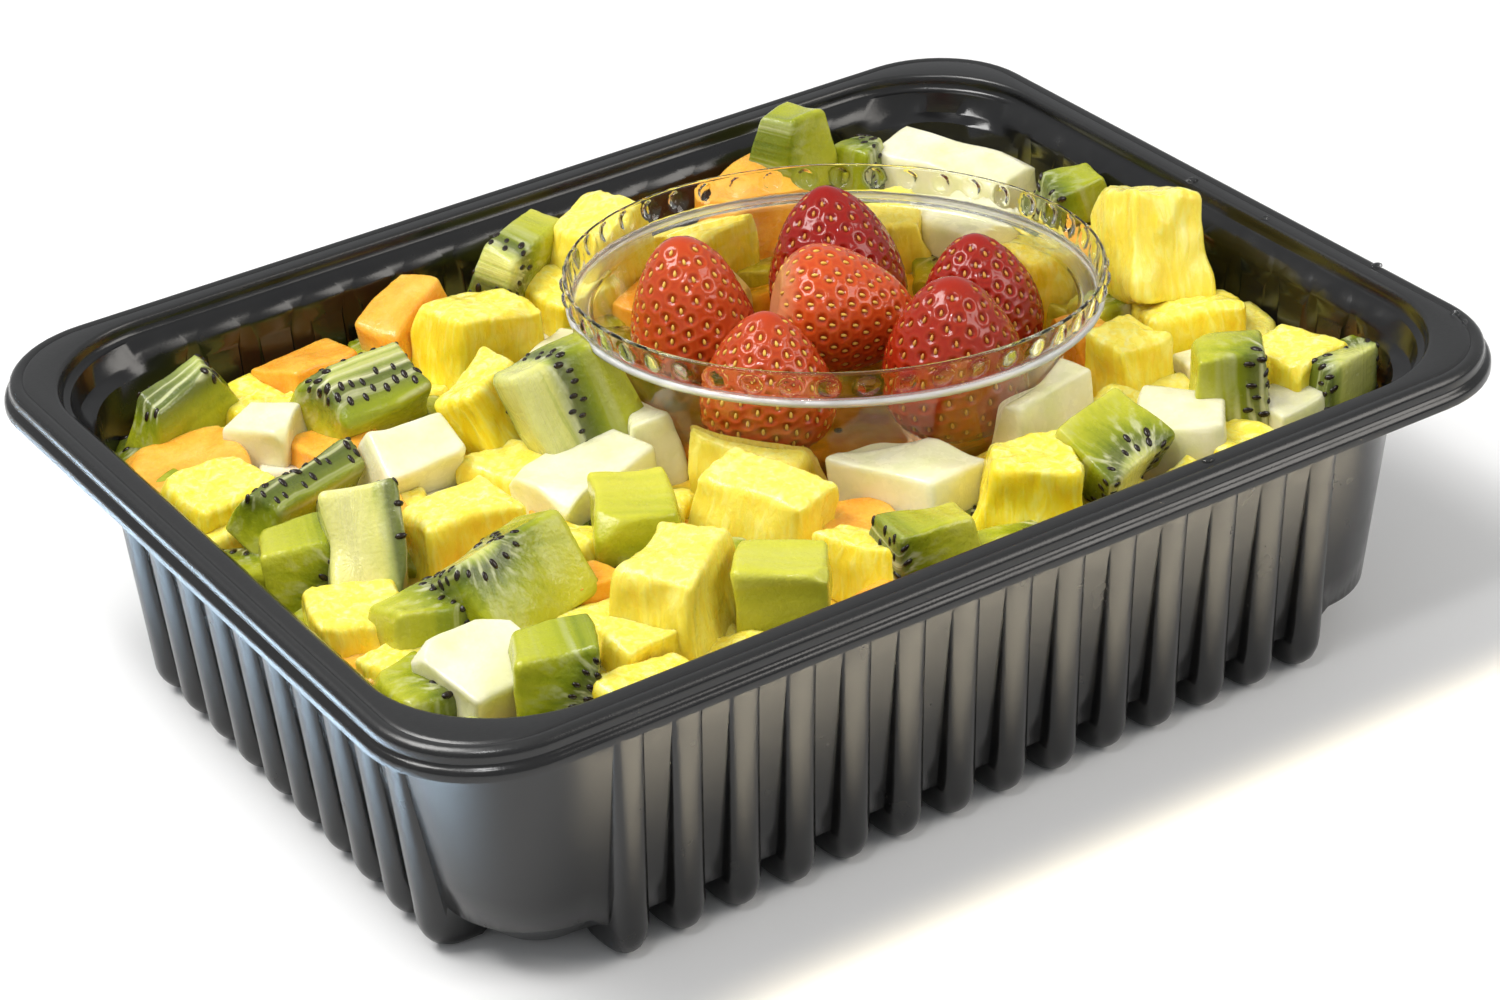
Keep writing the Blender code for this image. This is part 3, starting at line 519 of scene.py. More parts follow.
def shell_faces(rings, count, turned=False):
    """A sheet's two skins of rings, joined at their first ring and closed at their last one."""
    start = rings * count
    faces = ring_faces(rings, count)
    faces += [face[::-1] for face in ring_faces(rings, count, start)]
    for i in range(count):
        j = (i + 1) % count
        faces.append((i, start + i, start + j, j))
    if turned:
        faces = [face[::-1] for face in faces]
    ends = [tuple(range(start - count, start)), tuple(reversed(range(2 * start - count, 2 * start)))]
    return faces + ends


# Making materials


def new_material(name, roughness, **settings):
    """A material with its Principled shader, and that shader's own fixed values set on it.

    A socket's name is given with _ for each space in it.
    """
    material = bpy.data.materials.new(name)
    material.use_nodes = True
    shader = material.node_tree.nodes["Principled BSDF"]
    shader.inputs["Roughness"].default_value = roughness
    for socket, value in settings.items():
        shader.inputs[socket.replace("_", " ")].default_value = value
    return material, material.node_tree


def add_node(tree, kind, inputs=None, **settings):
    """A node with its settings, and its inputs given as values or as the outputs they come from."""
    node = tree.nodes.new("ShaderNode" + kind)
    for name, value in settings.items():
        setattr(node, name, value)
    for name, value in (inputs or {}).items():
        if isinstance(value, bpy.types.NodeSocket):
            tree.links.new(value, node.inputs[name])
        else:
            node.inputs[name].default_value = value
    return node


def noise(tree, scale, detail=3.0, vector=None, distortion=0.0, roughness=0.5):
    """The value of a noise texture, in the piece's own space or in the space of a vector."""
    if vector is None:
        vector = add_node(tree, "TexCoord").outputs["Object"]
    inputs = {
        "Vector": vector,
        "Scale": scale,
        "Detail": detail,
        "Distortion": distortion,
        "Roughness": roughness,
    }
    return add_node(tree, "TexNoise", inputs).outputs["Fac"]


def attribute(tree, name, output="Fac"):
    return add_node(tree, "Attribute", attribute_name=name).outputs[output]


def times(tree, first, second):
    return add_node(tree, "Math", {0: first, 1: second}, operation="MULTIPLY").outputs["Value"]


def between_heights(tree, low, high):
    """From 0 where a point's height in the part is low to 1 where it is high."""
    place = add_node(tree, "TexCoord").outputs["Object"]
    height = add_node(tree, "SeparateXYZ", {"Vector": place}).outputs["Z"]
    levels = {"Value": height, "From Min": low, "From Max": high}
    return add_node(tree, "MapRange", levels).outputs["Result"]


def ramp(tree, value, stops):
    """A colour ramp over (place, colour) stops."""
    node = add_node(tree, "ValToRGB", {"Fac": value})
    elements = node.color_ramp.elements
    while len(elements) < len(stops):
        elements.new(0.5)
    for element, (place, colour) in zip(elements, stops):
        element.position = place
        element.color = (*colour, 1.0)
    return node.outputs["Color"]


def greys(tree, value, stops):
    """A ramp over (place, lightness) stops."""
    return ramp(tree, value, [(place, (light,) * 3) for place, light in stops])


def grey_ramp(tree, value, low, high, start=0.0, end=1.0):
    return greys(tree, value, ((start, low), (end, high)))


def mix(tree, factor, first, second, blend="MIX"):
    """One colour mixed with another by a factor, each given as a value or as an output."""
    node = add_node(tree, "Mix", data_type="RGBA", blend_type=blend)
    for index, value in ((0, factor), (6, first), (7, second)):
        if isinstance(value, bpy.types.NodeSocket):
            tree.links.new(value, node.inputs[index])
        elif isinstance(value, tuple):
            node.inputs[index].default_value = (*value, 1.0)
        else:
            node.inputs[index].default_value = value
    return node.outputs[2]


def bump(tree, height, strength, distance, normal=None):
    inputs = {"Height": height, "Strength": strength, "Distance": distance}
    if normal is not None:
        inputs["Normal"] = normal
    return add_node(tree, "Bump", inputs).outputs["Normal"]


def finished(material, colour, roughness, normal=None):
    """The material, with what drives its colour, its roughness and its relief connected."""
    tree = material.node_tree
    shader = tree.nodes["Principled BSDF"]
    tree.links.new(colour, shader.inputs["Base Color"])
    tree.links.new(roughness, shader.inputs["Roughness"])
    if normal is not None:
        tree.links.new(normal, shader.inputs["Normal"])
    return material


def black_plastic():
    """Thermoformed sheet: glossy walls, a finely matted flange, and a few faint scuffs."""
    material, tree = new_material("black plastic", 0.25, IOR=1.56)
    flange = between_heights(tree, TRAY_HEIGHT - GLOSS_DROP, TRAY_HEIGHT - MATT_DROP)
    cloudy = noise(tree, 60.0, 4.0)
    body = ramp(tree, cloudy, ((0.3, (0.0035, 0.0035, 0.0040)), (0.7, (0.0065, 0.0062, 0.0060))))
    matt = mix(tree, noise(tree, 900.0, 2.0), (0.0095, 0.0095, 0.0097), (0.0160, 0.0160, 0.0160))
    sheen = grey_ramp(tree, noise(tree, 140.0, 5.0), 0.15, 0.30, 0.3, 0.75)
    dull = grey_ramp(tree, noise(tree, 1400.0, 3.0), 0.26, 0.36)
    waves = bump(tree, noise(tree, 70.0, 2.0), 0.05, 0.0006)
    grain = bump(tree, noise(tree, 2600.0, 2.0), 0.16, 0.0001, waves)
    roughness = mix(tree, flange, sheen, dull)
    return finished(material, mix(tree, flange, body, matt), roughness, grain)


def clear_plastic():
    """Clear moulded sheet with faint flow marks, amber low down where the juice shows through, and less
    clear, so whiter, on the bead at the skirt's foot as a painted highlight.
    """
    material, tree = new_material("clear plastic", 0.03, IOR=1.40)
    # Less clear, and so whiter, on the bead: a painted highlight
    clear_but_for_painted_highlight = grey_ramp(tree, attribute(tree, "ring"), 1.0, 0.55)
    tree.links.new(clear_but_for_painted_highlight, tree.nodes["Principled BSDF"].inputs["Transmission Weight"])
    tint = ramp(tree, noise(tree, 90.0, 2.0), ((0.2, (0.975, 0.985, 0.985)), (0.8, (1.0, 1.0, 1.0))))
    depth = between_heights(tree, JUICE_TOP, JUICE_TOP - JUICE_FADE)
    roughness = grey_ramp(tree, noise(tree, 260.0, 3.0), 0.015, 0.06)
    waves = bump(tree, noise(tree, 160.0, 2.0), 0.10, 0.0003)
    return finished(material, mix(tree, depth, tint, (1.0, 0.74, 0.38)), roughness, waves)


def water():
    material, tree = new_material("water", 0.01, IOR=1.33, Transmission_Weight=1.0)
    tint = ramp(tree, noise(tree, 300.0), ((0.2, (0.97, 0.98, 0.98)), (0.8, (1.0, 1.0, 1.0))))
    return finished(material, tint, grey_ramp(tree, noise(tree, 500.0), 0.0, 0.03))


def flesh(name, subsurface, glow_radius, gloss, coat):
    """A moist cut flesh without its colour, and what varies over it: its grain and its tone."""
    material, tree = new_material(
        name,
        gloss,
        IOR=1.40,
        Subsurface_Weight=subsurface,
        Subsurface_Radius=glow_radius,
        Subsurface_Scale=1.0,
        Coat_Weight=coat,
        Coat_Roughness=0.12,
        Coat_IOR=1.33,
    )
    return material, tree, attribute(tree, "grain", "Vector"), attribute(tree, "tone")


def painted_top_light(tree):
    """From 0 on a side to 1 on a level top, for painted light on tops and painted shade on sides."""
    normal = add_node(tree, "NewGeometry").outputs["Normal"]
    up = add_node(tree, "SeparateXYZ", {"Vector": normal}).outputs["Z"]
    return grey_ramp(tree, up, 0.0, 1.0, 0.05, 0.95)


def moist(tree, grain, low, high):
    """Roughness in wetter and drier patches."""
    return grey_ramp(tree, noise(tree, 0.35, 4.0, grain), low, high, 0.35, 0.68)


def pineapple_flesh():
    material, tree, grain, tone = flesh("pineapple flesh", 0.25, (0.0045, 0.0030, 0.0006), 0.3, 0.4)
    fibres = add_node(tree, "Mapping", {"Vector": grain, "Scale": (1.0, 1.0, 0.22)})
    streaks = noise(tree, 0.62, 4.0, fibres.outputs["Vector"], 0.8)
    # Sides in deeper yellow as painted shade, tops paler as painted light
    side = ramp(
        tree,
        streaks,
        ((0.30, (0.92, 0.66, 0.010)), (0.48, (0.95, 0.75, 0.020)), (0.68, (0.97, 0.84, 0.120))),
    )
    top = ramp(
        tree,
        streaks,
        ((0.30, (0.93, 0.72, 0.040)), (0.48, (0.97, 0.82, 0.110)), (0.68, (0.98, 0.92, 0.330))),
    )
    body = mix(tree, painted_top_light(tree), side, top)
    pale = mix(tree, times(tree, tone, 0.35), body, (0.94, 0.82, 0.22))
    patches = grey_ramp(tree, noise(tree, 0.16, 2.0, grain), 0.0, 0.5, 0.45, 0.75)
    colour = mix(tree, patches, pale, (0.88, 0.64, 0.02))
    fine = bump(tree, streaks, 0.55, 0.0006)
    pores = bump(tree, noise(tree, 2.4, 3.0, grain), 0.20, 0.0002, fine)
    return finished(material, colour, moist(tree, grain, 0.16, 0.42), pores)


def honeydew_flesh():
    material, tree, grain, tone = flesh("honeydew flesh", 0.45, (0.0050, 0.0050, 0.0030), 0.3, 0.25)
    cloudy = noise(tree, 0.14, 3.0, grain)
    body = ramp(
        tree,
        cloudy,
        ((0.30, (0.74, 0.73, 0.38)), (0.55, (0.85, 0.80, 0.55)), (0.75, (0.90, 0.86, 0.68))),
    )
    speck = grey_ramp(tree, noise(tree, 1.6, 3.0, grain), 0.0, 0.16, 0.55, 0.75)
    greener = mix(tree, speck, body, (0.84, 0.84, 0.50))
    varied = mix(tree, times(tree, tone, 0.35), greener, (0.86, 0.87, 0.52))
    pores = bump(tree, noise(tree, 1.3, 4.0, grain), 0.25, 0.0003)
    return finished(material, varied, moist(tree, grain, 0.14, 0.38), pores)


def cantaloupe_flesh():
    material, tree, grain, _ = flesh("cantaloupe flesh", 0.40, (0.0050, 0.0025, 0.0008), 0.3, 0.25)
    cloudy = noise(tree, 0.15, 3.0, grain)
    body = ramp(
        tree,
        cloudy,
        ((0.30, (0.85, 0.33, 0.026)), (0.55, (0.90, 0.44, 0.050)), (0.75, (0.92, 0.54, 0.120))),
    )
    speck = grey_ramp(tree, noise(tree, 1.8, 3.0, grain), 0.0, 0.35, 0.52, 0.75)
    colour = mix(tree, speck, body, (0.94, 0.60, 0.17))
    pores = bump(tree, noise(tree, 1.5, 4.0, grain), 0.30, 0.0003)
    return finished(material, colour, moist(tree, grain, 0.16, 0.40), pores)


def kiwi_flesh():
    """Pale core, whitish ring where the seeds are, and green flesh with streaks like spokes."""
    material, tree, grain, tone = flesh("kiwi flesh", 0.30, (0.0040, 0.0040, 0.0008), 0.22, 0.4)
    radial = attribute(tree, "radial", "Vector")
    out = add_node(tree, "SeparateXYZ", {"Vector": radial}).outputs["Z"]
    share = times(tree, out, 1.0 / KIWI_RADIUS_MM)
    body = ramp(
        tree,
        share,
        (
            (0.00, (0.78, 0.75, 0.33)),
            (0.19, (0.73, 0.71, 0.23)),
            (0.25, (0.50, 0.52, 0.18)),
            (0.30, (0.18, 0.20, 0.070)),
            (0.38, (0.16, 0.19, 0.030)),
            (0.46, (0.27, 0.31, 0.016)),
            (0.62, (0.45, 0.46, 0.022)),
            (1.00, (0.63, 0.60, 0.060)),
        ),
    )
    spokes = add_node(tree, "Mapping", {"Vector": radial, "Scale": (1.0, 1.0, 0.035)})
    streak = noise(tree, 7.0, 2.0, spokes.outputs["Vector"])
    near_seeds = greys(tree, share, ((0.20, 0.0), (0.27, 0.9), (0.42, 0.75), (0.55, 0.35), (0.80, 0.1)))
    whitish = times(tree, grey_ramp(tree, streak, 0.0, 1.0, 0.52, 0.66), near_seeds)
    streaked = mix(tree, whitish, body, (0.66, 0.66, 0.40))
    fading = greys(tree, share, ((0.10, 0.15), (0.28, 0.9), (0.55, 0.6), (0.85, 0.25)))
    dark = times(tree, grey_ramp(tree, streak, 0.85, 0.0, 0.32, 0.50), fading)
    darker = mix(tree, dark, streaked, (0.55, 0.66, 0.30), "MULTIPLY")
    deeper = mix(tree, times(tree, tone, 0.55), darker, (0.62, 0.72, 0.50), "MULTIPLY")
    fine = bump(tree, streak, 0.55, 0.0005)
    pores = bump(tree, noise(tree, 1.1, 4.0, grain), 0.45, 0.0004, fine)
    return finished(material, deeper, moist(tree, grain, 0.12, 0.34), pores)


def core_flesh():
    """The juicy mass under the pieces, in patches of the fruits' colours."""
    material, tree, grain, _ = flesh("fruit core", 0.30, (0.0040, 0.0030, 0.0010), 0.25, 0.4)
    patches = noise(tree, 0.11, 1.0, grain)
    body = ramp(
        tree,
        patches,
        (
            (0.34, (0.40, 0.36, 0.03)),
            (0.42, (0.80, 0.50, 0.02)),
            (0.52, (0.86, 0.62, 0.10)),
            (0.60, (0.84, 0.52, 0.03)),
            (0.68, (0.80, 0.30, 0.03)),
        ),
    )
    pores = bump(tree, noise(tree, 0.9, 4.0, grain), 0.4, 0.0005)
    return finished(material, body, moist(tree, grain, 0.12, 0.35), pores)


def strawberry_skin(ripeness, number):
    """Glossy red skin, more orange where it is less ripe, with painted shade in the dimples and a
    painted highlight on their rims.
    """
    material, tree = new_material(
        f"strawberry skin {number}",
        0.28,
        IOR=1.36,
        Subsurface_Weight=0.18,
        Subsurface_Radius=(0.0030, 0.0008, 0.0004),
        Subsurface_Scale=1.0,
        Coat_Weight=0.30,
        Coat_Roughness=0.05,
    )
    ridge = UNRIPE_RED.lerp(RIPE_RED, ripeness)
    highlight_and_patch_tint = RIM_PAINTED_HIGHLIGHT * (1.1 - ripeness)
    # By the relief attribute: painted shade in the dimples, the plain skin, and a painted highlight on
    # the rims. Random paler patches take half the highlight's tint
    stops = ((0.0, tuple(ridge * 0.60)), (0.55, tuple(ridge)), (1.0, tuple(ridge * 0.9 + highlight_and_patch_tint)))
    skin = ramp(tree, attribute(tree, "relief"), stops)
    patches = grey_ramp(tree, noise(tree, 75.0, 3.0), 0.0, 0.45, 0.40, 0.75)
    warm = mix(tree, patches, skin, tuple(ridge * 0.95 + highlight_and_patch_tint * 0.5))
    collar = grey_ramp(tree, attribute(tree, "height"), 0.55, 0.0, 0.01, 0.10)
    colour = mix(tree, collar, warm, (0.78, 0.42, 0.20))
    roughness = grey_ramp(tree, noise(tree, 420.0, 3.0), 0.09, 0.24, 0.3, 0.7)
    return finished(material, colour, roughness, bump(tree, noise(tree, 1500.0, 3.0), 0.16, 0.0002))


def achene_skin():
    material, tree = new_material("achenes", 0.3, IOR=1.45)
    golden = mix(tree, noise(tree, 900.0), (0.70, 0.38, 0.040), (0.84, 0.56, 0.11))
    brown = mix(tree, noise(tree, 900.0), (0.46, 0.16, 0.018), (0.66, 0.32, 0.05))
    colour = mix(tree, attribute(tree, "tone"), golden, brown)
    roughness = grey_ramp(tree, noise(tree, 2000.0), 0.2, 0.4)
    return finished(material, colour, roughness, bump(tree, noise(tree, 3000.0), 0.2, 0.0001))


def kiwi_seed_skin():
    material, tree = new_material("kiwi seeds", 0.22, IOR=1.45)
    dark = mix(tree, noise(tree, 700.0), (0.006, 0.004, 0.003), (0.030, 0.018, 0.010))
    roughness = grey_ramp(tree, noise(tree, 1800.0), 0.14, 0.32)
    return finished(material, dark, roughness, bump(tree, noise(tree, 3000.0), 0.2, 0.0001))


def floor_material():
    material, tree = new_material("pale floor", 0.6)
    tone = mix(tree, noise(tree, 3.0), (0.90, 0.90, 0.90), (0.93, 0.93, 0.93))
    tree.links.new(tone, tree.nodes["Principled BSDF"].inputs["Base Color"])
    return material


# The tray


def between(first, second, steps):
    """The points of the straight line from first towards second, without second."""
    return [first.lerp(second, step / steps) for step in range(steps)]


def fine_path(path):
    """A path of levels with more levels in its fade and its wall."""
    fine = between(path[0], path[1], FADE_STEPS)
    fine += between(path[1], path[2], WALL_STEPS)
    return fine + path[2:]


def rib_path():
    """(inset, height) down a rib's crest: its fade, rounded toe, standing flat and the floor."""
    path = [Vector((WALL_TOP_INSET, RIB_FADE_TOP)), Vector((WALL_TOP_INSET + CREST_LEAN, RIB_TOP))]
    for degrees in TOE_TURNS:
        turn = math.radians(degrees)
        inset = TOE_INSET + TOE_RADIUS * (1 - math.cos(turn))
        path.append(Vector((inset, TOE_RADIUS * (1 - math.sin(turn)))))
    path.append(Vector((TOE_INSET + TOE_RADIUS + TOE_FLAT, 0.0)))
    path.append(Vector((FLOOR_INSET, FLOOR_HEIGHT)))
    return path


def floor_path(foot_height):
    """(inset, height) from the foot of a wall over its chamfer and on to the floor."""
    chamfer_top = Vector((WALL_FOOT_INSET + CHAMFER_STEP, foot_height - CHAMFER_DROP))
    floor_edge = Vector((FLOOR_INSET, FLOOR_HEIGHT))
    steps = len(TOE_TURNS)
    path = [Vector((WALL_FOOT_INSET, foot_height))]
    return path + [chamfer_top.lerp(floor_edge, step / steps) for step in range(steps + 1)]


def panel_path():
    """(inset, height) down the flat wall between two ribs."""
    path = [Vector((WALL_TOP_INSET, RIB_FADE_TOP)), Vector((WALL_TOP_INSET + WALL_LEAN, RIB_TOP))]
    return path + floor_path(PANEL_FOOT_HEIGHT)


def corner_path(pocket):
    """(inset, height) down a corner. Pocket is 1 in the middle of the crescent, 0 at its ends."""
    depth = POCKET_DEPTH * pocket
    top_inset = WALL_TOP_INSET - POCKET_OUT_SHARE * depth
    shelf_inset = WALL_TOP_INSET + WALL_LEAN + POCKET_IN_SHARE * depth
    path = [
        Vector((top_inset, RIB_FADE_TOP - POCKET_TOP_DROP * pocket)),
        Vector((shelf_inset, RIB_TOP + POCKET_SHELF_RISE * pocket)),
    ]
    return path + floor_path(CORNER_FOOT_HEIGHT)


def offset_path(path, distance):
    """The path moved sideways by a distance, towards the side that faces the food or the sky."""
    moved = []
    for i, point in enumerate(path):
        legs = []
        if i > 0:
            legs.append((point - path[i - 1]).normalized())
        if i < len(path) - 1:
            legs.append((path[i + 1] - point).normalized())
        normals = [Vector((-leg.y, leg.x)) for leg in legs]
        mitre = 1 + normals[0].dot(normals[-1])
        moved.append(point + (normals[0] + normals[-1]) * (distance / mitre))
    return moved


def rib_halves(inward):
    """Half a rib's width at each level of the fine path, less where the rib is seen from inside."""
    toe_levels = len(TOE_TURNS) + 2
    halves = [RIB_FADE_HALF, RIB_TOP_HALF, RIB_WALL_HALF]
    for level in range(toe_levels - 1):
        share = level / (toe_levels - 2)
        halves.append(RIB_WALL_HALF + (RIB_FLOOR_HALF - RIB_WALL_HALF) * share)
    path = [Vector((half - RIB_SIDE_SHARE * inward, 0.0)) for half in halves]
    return [point.x for point in fine_path(path)]


def round_tray(rib, panel, corners, corner_centre, half_width):
    """One ring of points round the tray: rounded corners, and a row of ribs along each side.

    rib and panel are (inset, height) on a rib's crest and beside it, and corners has one for each
    step round a corner. corner_centre is how far in from the edges a corner's middle lies.
    """
    sides = (
        (Vector((-1, 0)), Vector((0, 1)), TRAY_WIDTH / 2, RIBS_LONG_SIDE, (1, 1)),
        (Vector((0, -1)), Vector((-1, 0)), TRAY_LENGTH / 2, RIBS_SHORT_SIDE, (-1, 1)),
        (Vector((1, 0)), Vector((0, -1)), TRAY_WIDTH / 2, RIBS_LONG_SIDE, (-1, -1)),
        (Vector((0, 1)), Vector((1, 0)), TRAY_LENGTH / 2, RIBS_SHORT_SIDE, (1, -1)),
    )
    ring = []
    for quarter, (along, outward, half, ribs, signs) in enumerate(sides):
        for step, (inset, height) in enumerate(corners):
            angle = math.pi / 2 * (quarter + step / CORNER_STEPS)
            radius = corner_centre - inset
            x = signs[0] * (TRAY_LENGTH / 2 - corner_centre) + radius * math.cos(angle)
            y = signs[1] * (TRAY_WIDTH / 2 - corner_centre) + radius * math.sin(angle)
            ring.append((x, y, height))
        for number in range(ribs):
            middle = (number - (ribs - 1) / 2) * RIB_PITCH
            for step in RIB_STEPS:
                rise = (1 - abs(step) ** RIB_ROUNDNESS) ** 0.5
                inset = panel[0] + (rib[0] - panel[0]) * rise
                height = panel[1] + (rib[1] - panel[1]) * rise
                place = outward * (half - inset) + along * (middle + step * half_width)
                ring.append((place.x, place.y, height))
    return ring


def rim_rings(inward):
    """The rim's rings from the lip over the flange to the ledge, inward being its thickness."""
    path = [Vector((inset, TRAY_HEIGHT - drop)) for inset, drop in LIP_PROFILE]
    path += [Vector((OPENING_INSET + step, TRAY_HEIGHT - drop)) for step, drop in LEDGE_PROFILE]
    rings = []
    for number, place in enumerate(offset_path(path, inward)):
        on_lip = number < len(LIP_PROFILE)
        centre = RIM_CORNER_RADIUS if on_lip else OPENING_CORNER_RADIUS + OPENING_INSET
        corners = [place] * (CORNER_STEPS + 1)
        rings.append(round_tray(place, place, corners, centre, RIB_WALL_HALF))
    return rings


def wall_rings(inward):
    ribs = fine_path(offset_path(rib_path(), inward))
    panels = fine_path(offset_path(panel_path(), inward))
    pockets = [math.sin(math.pi * step / CORNER_STEPS) for step in range(CORNER_STEPS + 1)]
    corners = [fine_path(offset_path(corner_path(pocket), inward)) for pocket in pockets]
    halves = rib_halves(inward)
    rings = []
    for level, (rib, panel) in enumerate(zip(ribs, panels)):
        places = [corner[level] for corner in corners]
        rings.append(round_tray(rib, panel, places, WALL_CORNER_INSET, halves[level]))
    return rings


def make_tray():
    upper = rim_rings(0.0) + wall_rings(SHEET)
    under = rim_rings(-SHEET) + wall_rings(0.0)
    points = [point for ring in upper + under for point in ring]
    faces = shell_faces(len(upper), len(upper[0]))
    tray = mesh_object("tray_sheet", points, faces, black_plastic())
    tray.data.set_sharp_from_angle(angle=math.radians(SHARP_ANGLE))
    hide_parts("tray")
    return tray


# The clear cup


def cup_frame():
    """The cup's own three directions: across, across and up."""
    up = CUP_AXIS.normalized()
    side = Vector((1.0, 0.0, 0.0))
    side = (side - up * side.dot(up)).normalized()
    return side, up.cross(side), up


def cup_profile():
    """(radius, height) down the cup's outer side, from its top edge to the middle of its base."""
    foot_ring = CUP_RIM_RADIUS - SKIRT_LEAN
    profile = [(CUP_RIM_RADIUS - CUP_EDGE_INSET, 0.0), (CUP_RIM_RADIUS, -CUP_EDGE_DROP)]
    for step in range(1, SKIRT_STEPS + 1):
        share = step / SKIRT_STEPS
        profile.append((CUP_RIM_RADIUS - SKIRT_LEAN * share, -CUP_EDGE_DROP - SKIRT_HEIGHT * share))
    profile += [(foot_ring + beyond, -drop) for beyond, drop in CUP_FOOT_RING]
    profile += [(CUP_BOWL_RADIUS + beyond, -drop) for beyond, drop in CUP_NECK]
    foot = CUP_BOWL_FOOT_RISE - CUP_DEPTH
    for step in range(CUP_BOWL_STEPS + 1):
        share = step / CUP_BOWL_STEPS
        height = CUP_BOWL_TOP + (foot - CUP_BOWL_TOP) * share
        radius = CUP_BOWL_RADIUS + (CUP_BASE_RADIUS - CUP_BOWL_RADIUS) * share
        thread = THREAD_DEPTH * math.sin(math.tau * height / THREAD_PITCH)
        profile.append((radius - max(0.0, share - THREAD_START) * 2 * abs(thread), height))
    profile += [(CUP_BASE_RADIUS - inset, rise - CUP_DEPTH) for inset, rise in CUP_BASE]
    profile.append((CUP_BASE_RADIUS * 0.5, CUP_BASE_RISE - CUP_DEPTH))
    profile.append((CUP_BASE_HUB, CUP_BASE_RISE - CUP_DEPTH))
    return profile


def cup_skin(profile, bump_height):
    """The points of one skin of the cup, with its round bumps pressed out of the skirt."""
    turns = np.arange(CUP_SIDES) / CUP_SIDES * math.tau
    pitch = math.tau / BUMPS
    side, across, up = [np.array(axis) for axis in cup_frame()]
    rings = []
    for radius, height in profile:
        off_round = ((turns + pitch / 2) % pitch - pitch / 2) * CUP_RIM_RADIUS
        away = np.hypot(off_round, height + BUMP_DROP) / BUMP_RADIUS
        swell = bump_height * np.clip(1.0 - away**2, 0.0, None) ** BUMP_ROUNDNESS
        reach = (radius + swell)[:, None]
        spoke = np.cos(turns)[:, None] * side + np.sin(turns)[:, None] * across
        rings.append(np.array(CUP_CENTRE) + reach * spoke + height * up)
    return np.concatenate(rings)


def make_cup():
    outer = cup_profile()
    path = [Vector(point) for point in outer]
    inner = [(max(CUP_INNER_HUB, point.x), point.y) for point in offset_path(path, -CUP_SHEET)]
    skins = [cup_skin(outer, BUMP_HEIGHT), cup_skin(inner, BUMP_HEIGHT * BUMP_INNER_SHARE)]
    points = np.concatenate(skins)
    faces = shell_faces(len(outer), CUP_SIDES, turned=True)
    cup = mesh_object("cup_clear", points, faces, clear_plastic())
    # The bead at the skirt's foot gets its painted highlight through the ring attribute
    low, high = BEAD_HIGHLIGHT_HEIGHTS
    bead_painted_highlight = [float(low < height < high and radius > BEAD_HIGHLIGHT_INNER_RADIUS) for radius, height in outer]
    store_floats(cup, "ring", np.repeat(bead_painted_highlight + bead_painted_highlight, CUP_SIDES))
    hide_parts("cup")
    return cup


def make_droplets():
    """Drops of water that lie on the flange, their lower halves sunk in it."""
    axes = np.identity(3)
    places = []
    for (x, y), radius in DROPLETS:
        sizes = (radius, radius * DROPLET_NARROWNESS, DROPLET_HEIGHT)
        places.append((np.array((x, y, TRAY_HEIGHT)), axes, sizes))
    points, faces = placed_balls(places, DROPLET_SIDES, DROPLET_RINGS)
    mesh_object("droplets", points, faces, water())


# Keeping the food inside the tray and outside the cup


def keep_in_tray(points):
    """Moves points that lie in the tray's wall back to its inner side."""
    z = points[:, 2]
    inset = np.interp(
        z,
        (FOOD_FOOT_LEVEL, RIB_TOP, FOOD_RIM_LEVEL, TRAY_HEIGHT),
        (FOOD_FOOT_INSET, FOOD_WALL_INSET, FOOD_WALL_INSET, FOOD_RIM_INSET),
    )
    centre = np.array((TRAY_LENGTH / 2, TRAY_WIDTH / 2)) - WALL_CORNER_INSET
    sign = np.sign(points[:, :2])
    past = np.abs(points[:, :2]) - centre
    reach = WALL_CORNER_INSET - inset
    in_corner = (past > 0).all(axis=1)
    length = np.hypot(past[:, 0], past[:, 1])
    scale = np.where(length > reach, reach / np.maximum(length, 1e-9), 1.0)[:, None]
    rounded = np.where(past > 0, past * scale, past)
    straight = np.minimum(past, reach[:, None])
    kept = np.where(in_corner[:, None], rounded, straight)
    moved = points.copy()
    moved[:, :2] = sign * (kept + centre)
    return moved


def cup_places(points):
    """Height along the cup's axis, distance from it and the way out from it, for each point."""
    up = np.array(CUP_AXIS.normalized())
    from_centre = points - np.array(CUP_CENTRE)
    height = from_centre @ up
    spoke = from_centre - height[:, None] * up
    radius = np.linalg.norm(spoke, axis=1)
    return height, radius, spoke / np.maximum(radius, 1e-9)[:, None]


def keep_out_of_cup(points):
    height, radius, spoke = cup_places(points)
    limit = np.interp(
        height,
        (-CUP_DEPTH, FOOD_BOWL_TOP, FOOD_SKIRT_FOOT, 0.0),
        (CUP_BASE_RADIUS, CUP_BOWL_RADIUS, CUP_RIM_RADIUS - SKIRT_LEAN / 2, CUP_RIM_RADIUS),
    )
    limit = np.where(height > -CUP_DEPTH - CUP_GAP, limit + CUP_GAP, 0.0)
    push = np.clip(limit - radius, 0.0, None)
    return points + spoke * push[:, None]


# The cut fruit


